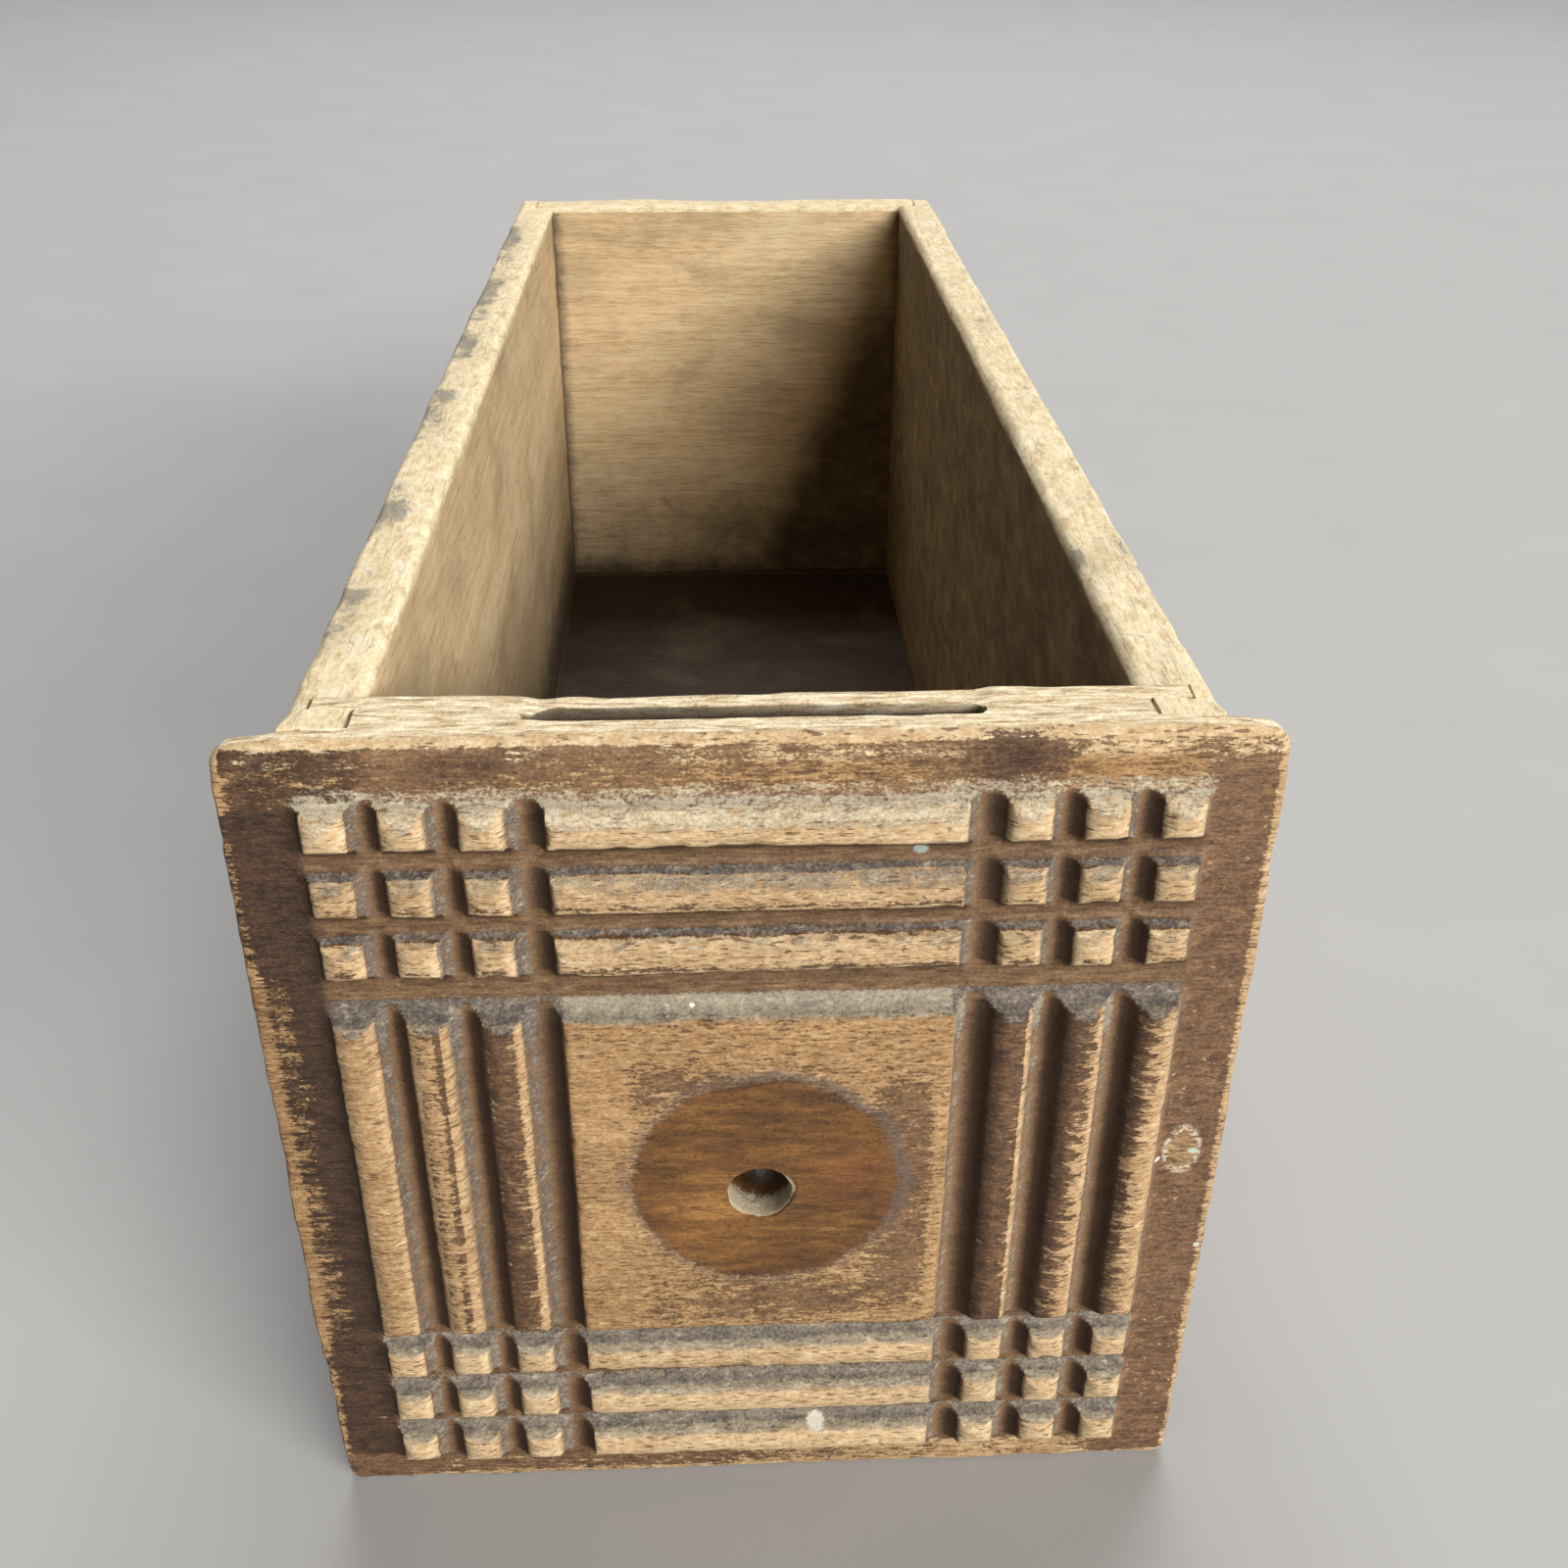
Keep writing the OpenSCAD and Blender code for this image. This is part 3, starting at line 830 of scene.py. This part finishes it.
def mark_board(piece, sign):
    """Where a plain board is worn, inside the drawer, or darkened towards an inner corner or by
    painted shade and shadow.
    """
    points = points_of(piece)
    x, y, z = points.T
    worn = smooth((z - TOP_Z + 2.8) / 1.6)
    inside = (np.abs(x) < INNER_X + 1.2) & (y > FRONT_BACK_Y - 0.5) & (y < BACK_LOW[1] + 1.2)
    inside &= z > PANEL_HIGH[2] - 0.6
    # Darker towards the floor; on the left side, where this reaches 52 mm up, it is a painted shadow
    # of the front board.
    reach = 52 if sign < 0 else 16
    corner = smooth((PANEL_HIGH[2] + reach - z) / reach)
    # Darker towards the inner corners: near the back, at the back board's ends, and near the front
    # board.
    if sign != 0:
        corner = np.maximum(corner, smooth((14 - BACK_LOW[1] + y) / 14))
    # Painted shade: the right side's inner face, which lies in shade, is darkened all over.
    if sign > 0:
        corner = np.maximum(corner, 0.9)
    corner = np.maximum(corner, smooth((INNER_X * -1 + np.abs(x) + 7) / 9) * (sign == 0))
    corner = np.maximum(corner, smooth((FRONT_BACK_Y + 9 - y) / 9))
    grimy = 0.0 * x
    if sign < 0:
        outer_half = smooth((np.abs(x) - SIDE_LOW[0] - 3) / 4)
        for middle, length in ((-130, 17), (-90, 11), (-31, 20), (14, 12), (60, 30), (120, 24)):
            grimy += 0.9 * outer_half * np.exp(-((y - middle) / length) ** 2)
    if sign > 0:
        grimy += 0.6 * np.exp(-((y + 112) / 8) ** 2) + 0.4 * np.exp(-((y - 30) / 16) ** 2)
    # Painted shade on the back board and the bottom panel, darker towards the bottom, and a painted
    # shadow of the right side running down and to the left from the top right corner.
    if sign == 0:
        painted_shade_low = smooth((112 - z) / 80)
        painted_shadow_right = smooth((x - 0.42 * z + 22) / 34) * smooth((150 - z) / 50)
        corner = np.maximum(corner, np.maximum(0.62 * painted_shade_low, 1.1 * painted_shadow_right))
    note(piece, worn=worn, within=inside * 1.0, corner=corner * inside, grimy=grimy)


# ---------- materials ----------

def rgb(red, green, blue):
    """A colour given as sRGB from 0 to 255, as the shader wants it."""
    def linear(c):
        c /= 255
        return c / 12.92 if c <= 0.04045 else ((c + 0.055) / 1.055) ** 2.4
    return (linear(red), linear(green), linear(blue), 1.0)


class Paint:
    """A material's node tree, with a short call for each kind of node."""

    def __init__(self, name):
        self.material = bpy.data.materials.new(name)
        self.material.use_nodes = True
        self.tree = self.material.node_tree
        self.shader = self.tree.nodes["Principled BSDF"]
        self.place = self.tree.nodes.new("ShaderNodeTexCoord").outputs["Object"]

    def put(self, socket, value):
        if isinstance(value, bpy.types.NodeSocket):
            self.tree.links.new(value, socket)
        else:
            socket.default_value = value

    def math(self, operation, a, b=0.0, clamp=False):
        node = self.tree.nodes.new("ShaderNodeMath")
        node.operation = operation
        node.use_clamp = clamp
        self.put(node.inputs[0], a)
        self.put(node.inputs[1], b)
        return node.outputs[0]

    def noise(self, cell, detail=3.0, rough=0.55, warp=0.0, seed=0):
        """Noise from 0 to 1 whose features are about cell = (x, y, z) millimetres."""
        mapping = self.tree.nodes.new("ShaderNodeMapping")
        self.put(mapping.inputs["Vector"], self.place)
        mapping.inputs["Scale"].default_value = [1 / (c * MM) for c in cell]
        mapping.inputs["Location"].default_value = (7.3 * seed, 3.1 * seed, 5.7 * seed)
        node = self.tree.nodes.new("ShaderNodeTexNoise")
        self.put(node.inputs["Vector"], mapping.outputs[0])
        node.inputs["Scale"].default_value = 1.0
        node.inputs["Detail"].default_value = detail
        node.inputs["Roughness"].default_value = rough
        node.inputs["Distortion"].default_value = warp
        return node.outputs["Fac"]

    def step(self, value, low, high):
        """0 below low, 1 above high, smooth between."""
        node = self.tree.nodes.new("ShaderNodeMapRange")
        node.interpolation_type = "SMOOTHSTEP"
        self.put(node.inputs["Value"], value)
        node.inputs["From Min"].default_value = low
        node.inputs["From Max"].default_value = high
        return node.outputs["Result"]

    def ramp(self, value, *stops):
        """A colour from stops of (position, colour)."""
        node = self.tree.nodes.new("ShaderNodeValToRGB")
        ramp = node.color_ramp
        while len(ramp.elements) < len(stops):
            ramp.elements.new(0.5)
        for element, (position, colour) in zip(ramp.elements, stops):
            element.position = position
            element.color = colour
        self.put(node.inputs[0], value)
        return node.outputs[0]

    def mix(self, share, a, b):
        node = self.tree.nodes.new("ShaderNodeMix")
        node.data_type = "RGBA"
        self.put(node.inputs[0], share)
        self.put(node.inputs[6], a)
        self.put(node.inputs[7], b)
        return node.outputs[2]

    def note(self, name):
        """A number stored per vertex."""
        node = self.tree.nodes.new("ShaderNodeAttribute")
        node.attribute_name = name
        return node.outputs["Fac"]

    def notes(self, names):
        """Several stored numbers, in the order of their names."""
        return [self.note(name) for name in names.split()]

    def distance(self, x, z, tall=1.0):
        """Distance in millimetres from a point of the face, seen from the front. Circles of equal
        distance become ovals, tall times as high as they are wide."""
        split = self.tree.nodes.new("ShaderNodeSeparateXYZ")
        self.put(split.inputs[0], self.place)
        dx = self.math("SUBTRACT", split.outputs[0], x * MM)
        dz = self.math("SUBTRACT", split.outputs[2], z * MM)
        dz = self.math("DIVIDE", dz, tall)
        squares = self.math("ADD", self.math("MULTIPLY", dx, dx), self.math("MULTIPLY", dz, dz))
        return self.math("DIVIDE", self.math("SQRT", squares), MM)

    def sum(self, *terms):
        total = terms[0]
        for term in terms[1:]:
            total = self.math("ADD", total, term)
        return total

    def times(self, *terms):
        total = terms[0]
        for term in terms[1:]:
            total = self.math("MULTIPLY", total, term)
        return total

    def flip(self, value):
        """1 where value is 0, and 0 where it is 1."""
        return self.math("SUBTRACT", 1.0, value)

    def around(self, value, size):
        """A noise's swing about zero: -size/2 to size/2, stretched to use the range."""
        return self.math("MULTIPLY", self.math("SUBTRACT", value, 0.5), 2 * size)

    def finish(self, colour, roughness, height=None, bump_mm=0.1, specular=0.35):
        self.put(self.shader.inputs["Base Color"], colour)
        self.put(self.shader.inputs["Roughness"], roughness)
        self.shader.inputs["Specular IOR Level"].default_value = specular
        if height is not None:
            bump = self.tree.nodes.new("ShaderNodeBump")
            bump.inputs["Strength"].default_value = 1.0
            bump.inputs["Distance"].default_value = bump_mm * MM
            self.put(bump.inputs["Height"], height)
            self.put(self.shader.inputs["Normal"], bump.outputs[0])
        return self.material


PAINT_FLECKS = ((22, 126.6, 0.8, rgb(150, 164, 160)), (66.4, 70.6, 0.55, rgb(172, 204, 184)),
                (60.9, 69.4, 0.4, rgb(226, 228, 220)), (9.2, 13.2, 1.15, rgb(220, 212, 196)),
                (-9.5, 101.2, 0.3, rgb(236, 232, 222)), (69.6, 50.5, 0.45, rgb(224, 220, 208)))


def plate_round(p, colour, deep, inside, blotch, speck, broad, ragged):
    """The round of finish that the pull's plate kept, and the grimy ring round it."""
    off = p.distance(1.0, 69.5)
    edge = p.sum(off, p.around(blotch, 1.8), p.around(speck, 0.8))
    on_top = p.flip(p.math("MAXIMUM", deep, inside))
    disc = p.times(p.flip(p.step(edge, 19.6, 20.8)), on_top)
    streaks = p.noise((8.0, 8.0, 1.5), 5, 0.6, 0.3, 6)
    amber = p.flip(p.step(p.distance(-7, 62), 2.0, 13.0))
    varnish = p.ramp(p.sum(p.times(streaks, 0.7), 0.12, p.around(broad, 0.16),
                           p.around(speck, 0.12), p.times(amber, 0.12)),
                     (0.28, rgb(70, 46, 28)), (0.44, rgb(104, 70, 38)),
                     (0.58, rgb(130, 90, 48)), (0.76, rgb(170, 126, 68)))
    russet = p.flip(p.step(p.distance(14, 71), 2.0, 10.0))
    varnish = p.mix(p.times(russet, 0.35), varnish, rgb(134, 84, 52))
    colour = p.mix(disc, colour, varnish)
    ring = p.times(p.step(edge, 19.0, 20.2), p.flip(p.step(edge, 20.9, 22.4)))
    upper_right = p.step(p.distance(17, 84), 34.0, 8.0)
    ring = p.times(ring, on_top, p.step(p.sum(ragged, p.times(upper_right, 0.2)), 0.40, 0.62))
    colour = p.mix(p.times(ring, 0.7), colour, p.mix(speck, rgb(62, 54, 52), rgb(132, 116, 104)))
    scratch = p.flip(p.step(p.noise((16.0, 16.0, 0.5), 1, 0.5, 0.8, 16), 0.22, 0.27))
    colour = p.mix(p.times(scratch, disc, 0.5), colour, rgb(176, 132, 84))
    return colour, disc


def chip_and_flecks(p, colour, wood, speck, fleck, ragged):
    """A chip in a pale ring on the right margin, a green fleck of paint, and a few white ones."""
    chip = p.sum(p.distance(64.7, 70.9, 1.65), p.around(speck, 0.7), p.around(fleck, 0.7))
    chipped = p.flip(p.step(chip, 2.3, 2.8))
    colour = p.mix(p.times(chipped, p.step(ragged, 0.40, 0.55), 0.8), colour, wood)
    halo = p.times(p.step(chip, 2.1, 2.5), p.flip(p.step(chip, 2.8, 3.3)))
    halo = p.times(halo, p.step(p.sum(fleck, p.around(speck, 0.3)), 0.45, 0.58))
    colour = p.mix(p.times(halo, 0.8), colour, rgb(218, 210, 188))
    for x, z, size, paint in PAINT_FLECKS:
        apart = p.sum(p.distance(x, z, 0.8), p.around(speck, 0.9 * size))
        colour = p.mix(p.flip(p.step(apart, size, 1.4 * size)), colour, paint)
    return colour


def front_material():
    """Old dark finish, rubbed through to bare wood, with dust in the carving."""
    p = Paint("front_wood_worn")
    fibre = p.noise((3.8, 3.8, 0.55), 6, 0.64, 0.35, 1)
    pores = p.noise((2.3, 2.3, 0.36), 2, 0.5, 0.1, 2)
    blotch = p.noise((4.2, 4.2, 2.3), 6, 0.68, 0.5, 3)
    speck = p.noise((0.55, 0.55, 0.4), 2, 0.6, 0.0, 4)
    broad = p.noise((24.0, 24.0, 13.0), 3, 0.5, 0.5, 5)
    ragged = p.noise((4.6, 4.6, 1.7), 8, 0.74, 1.3, 7)
    fleck = p.noise((1.5, 1.5, 0.8), 3, 0.6, 0.4, 8)
    rungs = p.noise((3.4, 3.4, 0.95), 3, 0.55, 0.6, 10)

    bare, dust, deep, shade, red, pale = p.notes("bare dust deep shade red pale")
    tint, tone, inside, top_face, hollow = p.notes("tint tone inside topface hollow")
    glossy, level, ladder = p.notes("glossy level ladder")
    flat = p.flip(deep)

    mixed = p.sum(p.times(fibre, 0.6), 0.2, p.around(broad, 0.10),
                  p.around(blotch, 0.12), p.around(speck, 0.18), p.around(fleck, 0.16))
    tan = p.ramp(mixed, (0.28, rgb(112, 80, 50)), (0.43, rgb(150, 115, 77)),
                 (0.56, rgb(178, 143, 101)), (0.72, rgb(214, 182, 138)))
    cream = p.ramp(mixed, (0.28, rgb(146, 114, 78)), (0.43, rgb(194, 162, 122)),
                   (0.56, rgb(218, 192, 152)), (0.72, rgb(246, 230, 196)))
    wood = p.mix(pale, tan, cream)
    pore = p.flip(p.step(p.sum(pores, p.around(broad, 0.08)), 0.32, 0.42))
    wood = p.mix(p.times(pore, 0.75), wood, rgb(88, 60, 38))
    lifted = p.sum(p.times(fibre, 0.35), 0.325, p.around(blotch, 0.16),
                   p.around(speck, 0.16), p.around(fleck, 0.14),
                   p.times(p.sum(tint, -0.5), 0.5))
    stain = p.ramp(lifted, (0.26, rgb(46, 33, 24)), (0.44, rgb(86, 63, 45)),
                   (0.58, rgb(130, 99, 70)), (0.78, rgb(178, 144, 106)))
    stain_red = p.ramp(lifted, (0.26, rgb(54, 36, 27)), (0.44, rgb(96, 68, 50)),
                       (0.58, rgb(136, 101, 76)), (0.78, rgb(180, 144, 112)))
    finish = p.mix(red, stain, stain_red)
    rubbed = p.sum(bare, p.around(fibre, 0.18), p.around(ragged, 0.52), p.around(speck, 0.16),
                   p.times(p.around(rungs, 0.8), ladder))
    rubbed = p.step(rubbed, 0.44, 0.58)
    colour = p.mix(rubbed, finish, wood)

    colour, disc = plate_round(p, colour, deep, inside, blotch, speck, broad, ragged)

    groove = p.ramp(p.sum(0.5, p.times(p.around(fibre, 0.4), level), p.around(blotch, 0.22),
                          p.around(speck, 0.2)),
                    (0.28, rgb(70, 48, 31)), (0.5, rgb(116, 88, 61)), (0.72, rgb(156, 126, 94)))
    colour = p.mix(p.times(deep, 0.85), colour, groove)
    colour = p.mix(p.times(p.note("lit"), 0.5), colour, rgb(146, 120, 94))
    colour = p.mix(p.times(shade, 0.8), colour, rgb(36, 23, 15))

    powder = p.mix(p.sum(tone, p.around(blotch, 0.36), p.around(speck, 0.44), p.around(fleck, 0.3)),
                   rgb(84, 83, 84), rgb(216, 206, 180))
    film = p.sum(dust, p.around(speck, 0.26), p.around(ragged, 0.62), p.around(fibre, 0.14))
    film = p.step(film, 0.36, 0.62)
    colour = p.mix(p.times(film, 0.74), colour, powder)
    grit = p.times(p.step(fleck, 0.62, 0.72), p.step(dust, 0.2, 0.6))
    colour = p.mix(p.times(grit, 0.45), colour, rgb(206, 200, 184))
    chips = p.times(p.step(p.sum(fleck, p.around(broad, 0.10)), 0.66, 0.70), glossy)
    colour = p.mix(p.times(chips, 0.8), colour, rgb(216, 182, 140))

    colour = chip_and_flecks(p, colour, wood, speck, fleck, ragged)

    # End and inner faces: bare, greyed on top, stained inside
    aged = p.ramp(p.sum(p.noise((5, 0.7, 0.7), 5, 0.66, 0.4, 9), p.around(speck, 0.12)),
                  (0.3, rgb(140, 114, 84)), (0.46, rgb(212, 188, 150)), (0.64, rgb(250, 240, 210)))
    dull = p.ramp(fibre, (0.3, rgb(88, 66, 46)), (0.6, rgb(140, 110, 78)))
    inner = p.mix(top_face, dull, aged)
    colour = p.mix(inside, colour, inner)
    # Painted shade in the slot, near black at depth.
    colour = p.mix(p.times(hollow, 0.92), colour, p.mix(fibre, rgb(26, 19, 12), rgb(74, 58, 40)))

    rough = p.sum(0.62, p.times(rubbed, 0.22), p.times(film, 0.16), p.times(disc, -0.26))
    height = p.sum(p.times(fibre, flat, 0.45), p.times(speck, 0.6), p.times(pore, flat, -0.5),
                   p.times(rubbed, -0.45), p.times(film, 0.3), p.times(ragged, 0.3))
    return p.finish(colour, rough, height, 0.2)


def board_material(name, cell, dull, light, worn, grime):
    """Plain old board: grain along cell's long way, rubbed pale edges with grime patches, and inner
    faces darkened towards their corners and by painted shade and shadow.
    """
    p = Paint(name)
    grain = p.noise(cell, 5, 0.6, 0.3, 11)
    broad = p.noise(tuple(9 * min(c, 8) for c in cell), 3, 0.5, 0.5, 12)
    blotch = p.noise((6, 9, 6), 4, 0.65, 0.5, 13)
    speck = p.noise((0.8, 0.8, 0.8), 2, 0.6, 0.0, 14)
    edge, inside, corner = p.notes("worn within corner")

    figure = p.noise(tuple(7 * c if c > 8 else 15 for c in cell), 2, 0.45, 0.3, 17)
    rings = p.math("SINE", p.times(figure, 75.0))
    mixed = p.sum(grain, p.around(broad, 0.2), p.around(speck, 0.06))
    streaked = p.sum(p.times(mixed, 0.7), 0.15, p.times(rings, 0.035),
                     p.around(blotch, 0.07), p.around(speck, 0.12))
    colour = p.ramp(streaked, (0.30, dull[0]), (0.5, dull[1]), (0.70, dull[2]))
    pores = p.noise(tuple(0.2 * c if c > 8 else 0.36 for c in cell), 2, 0.5, 0.1, 18)
    pore = p.flip(p.step(p.sum(pores, p.around(broad, 0.08)), 0.33, 0.43))
    colour = p.mix(p.times(pore, 0.6), colour, rgb(44, 31, 21))
    scuff = p.noise(tuple(1.6 * c if c > 8 else 0.6 for c in cell), 3, 0.6, 0.2, 19)
    scuff = p.step(p.sum(scuff, p.around(blotch, 0.25)), 0.70, 0.80)
    colour = p.mix(p.times(scuff, 0.5), colour, rgb(168, 138, 104))
    softer = p.sum(p.times(mixed, 0.45), 0.275, p.around(blotch, 0.10))
    bright = p.ramp(softer, (0.30, light[0]), (0.5, light[1]), (0.70, light[2]))
    bright = p.mix(p.times(pore, 0.35), bright, light[0])
    smudge = p.noise((34, 34, 24), 3, 0.55, 0.6, 20)
    bright = p.mix(p.times(p.step(smudge, 0.48, 0.70), 0.40), bright, rgb(134, 122, 98))
    bright = p.mix(p.times(p.step(smudge, 0.46, 0.30), 0.25), bright, rgb(232, 218, 186))
    colour = p.mix(inside, colour, bright)
    # Painted shade and shadow, and darkening towards the corners: the 'corner' number turns the inner
    # faces dark brown.
    shade_and_dirt = p.step(p.sum(corner, p.around(blotch, 0.4)), 0.3, 1.1)
    colour = p.mix(p.times(shade_and_dirt, 0.84), colour, rgb(48, 35, 24))
    rub = p.step(p.sum(edge, p.around(blotch, 0.25)), 0.35, 0.7)
    fuzz = p.noise(tuple(min(c, 3.2) for c in cell), 5, 0.7, 0.5, 16)
    pale = p.ramp(p.sum(p.times(fuzz, 0.6), 0.2, p.around(blotch, 0.12),
                        p.around(speck, 0.08)),
                  (0.30, worn[0]), (0.48, worn[1]), (0.66, worn[2]))
    colour = p.mix(rub, colour, pale)
    patches = p.sum(p.note("grimy"), p.around(blotch, 1.3), p.around(fuzz, 0.9))
    patches = p.times(p.step(patches, grime - 0.15, grime + 0.45), rub)
    colour = p.mix(p.times(patches, 0.75), colour, rgb(110, 107, 102))
    rough = p.sum(0.74, p.times(rub, 0.1))
    height = p.sum(p.times(grain, 0.8), p.times(speck, 0.3), p.times(pore, -0.5))
    return p.finish(colour, rough, height, 0.16)


def iron_material():
    """Old nails: dark iron with rust in blotches."""
    p = Paint("nail_iron_rusty")
    rust = p.noise((1.2, 1.2, 1.2), 4, 0.65, 0.4, 21)
    fine = p.noise((0.25, 0.25, 0.25), 3, 0.6, 0.0, 22)
    share = p.step(p.sum(rust, p.around(fine, 0.15)), 0.42, 0.58)
    colour = p.mix(share, rgb(58, 54, 52), rgb(98, 58, 36))
    p.put(p.shader.inputs["Metallic"], p.math("SUBTRACT", 0.85, p.times(share, 0.75)))
    return p.finish(colour, p.sum(0.5, p.times(share, 0.35)), fine, 0.05, 0.5)


# ---------- the pieces ----------

CREAM = (rgb(172, 146, 108), rgb(226, 206, 166), rgb(252, 244, 218))
DULL = (rgb(74, 54, 38), rgb(116, 88, 62), rgb(152, 120, 88))
INNER = (rgb(176, 146, 106), rgb(214, 186, 144), rgb(236, 214, 176))

side_wood = board_material("side_wood_worn", (1.1, 26, 1.1), DULL, INNER, CREAM, 0.5)
back_wood = board_material("back_wood_worn", (26, 1.2, 1.2), DULL, INNER, CREAM, 0.60)
floor_wood = board_material("bottom_wood_worn", (26, 1.3, 1.3), DULL,
                            (rgb(62, 48, 34), rgb(88, 70, 50), rgb(112, 92, 68)), CREAM, 0.7)

finish_piece(front_board(), front_material(), "front_board")
finish_piece(side_board("left_side_worn", -1), side_wood, "left_side")
finish_piece(side_board("right_side_worn", 1), side_wood, "right_side")
finish_piece(back_board(), back_wood, "back_board")
finish_piece(bottom_panel(), floor_wood, "bottom_panel")

iron = iron_material()
for name in ("left_back_nails", "right_back_nails", "bottom_nails"):
    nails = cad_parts[name].data
    nails.materials.clear()
    nails.materials.append(iron)


# ---------- floor, lamps and camera ----------

def stage_floor():
    """Plain pale floor. The lip hangs below the sides, so the drawer stands on the lip and on
    its rear end, and the floor is turned to touch both."""
    size, thick = 4000.0, 5.0
    slope = SIDE_Z / (SIDE_HIGH[1] - LIP_Y)
    corners = []
    for z in (0.0, -thick):
        for x, y in ((-size, -size), (size, -size), (size, size), (-size, size)):
            corners.append((x, y, z + (y - LIP_Y) * slope))
    faces = [(0, 1, 2, 3), (7, 6, 5, 4)]
    faces += [(i, i + 4, (i + 1) % 4 + 4, (i + 1) % 4) for i in range(4)]
    floor = make_object("floor", np.array(corners), faces)
    p = Paint("floor_pale")
    colour = p.mix(p.noise((60, 60, 60), 3, 0.5, 0.0, 31), rgb(176, 176, 176), rgb(184, 184, 184))
    floor.data.materials.append(p.finish(colour, 0.8, None, 0, 0.2))


def lamp(name, azimuth, elevation, distance, wide, high, watts, colour=(1, 1, 1)):
    """A soft lamp aimed at the drawer. Azimuth 0 is in front, and 90 is at the right."""
    data = bpy.data.lights.new(name, "AREA")
    data.shape = "RECTANGLE"
    data.size, data.size_y = wide, high
    data.energy = watts
    data.color = colour
    made = bpy.data.objects.new(name, data)
    a, e = math.radians(azimuth), math.radians(elevation)
    away = Vector((math.sin(a) * math.cos(e), -math.cos(a) * math.cos(e), math.sin(e)))
    made.location = away * distance + Vector((0, 0, 0.07))
    made.rotation_euler = (-away).to_track_quat("-Z", "Y").to_euler()
    bpy.context.scene.collection.objects.link(made)


def make_world(colour, strength):
    world = bpy.data.worlds.new("studio")
    world.use_nodes = True
    background = world.node_tree.nodes["Background"]
    background.inputs["Color"].default_value = colour
    background.inputs["Strength"].default_value = strength
    bpy.context.scene.world = world


def make_camera():
    """Close in front of the drawer, looking down at it by about 30 degrees."""
    data = bpy.data.cameras.new("camera")
    data.sensor_width = 36
    data.lens = 38.05
    data.clip_start = 0.01
    camera = bpy.data.objects.new("camera", data)
    yaw, pitch, roll = [math.radians(a) for a in (2.515, 30.371, 0.249)]
    forward = Vector((math.sin(yaw) * math.cos(pitch), math.cos(yaw) * math.cos(pitch),
                      -math.sin(pitch)))
    level = Vector((math.cos(yaw), -math.sin(yaw), 0))
    rise = level.cross(forward)
    right = level * math.cos(roll) + rise * math.sin(roll)
    up = rise * math.cos(roll) - level * math.sin(roll)
    turned = Matrix((right, up, -forward)).transposed().to_4x4()
    turned.translation = Vector((-4.78, FACE_Y - 187.97, 247.27)) * MM
    camera.matrix_world = turned
    bpy.context.scene.collection.objects.link(camera)
    bpy.context.scene.camera = camera


stage_floor()
lamp("window", 33, 22, 3.2, 2.8, 0.56, 140, (1.0, 0.97, 0.92))
lamp("skylight", 172, 58, 3.2, 2.4, 1.6, 90, (1.0, 0.99, 0.97))
make_world((0.82, 0.85, 0.90, 1.0), 0.07)
make_camera()
bpy.context.scene.view_settings.view_transform = "Standard"
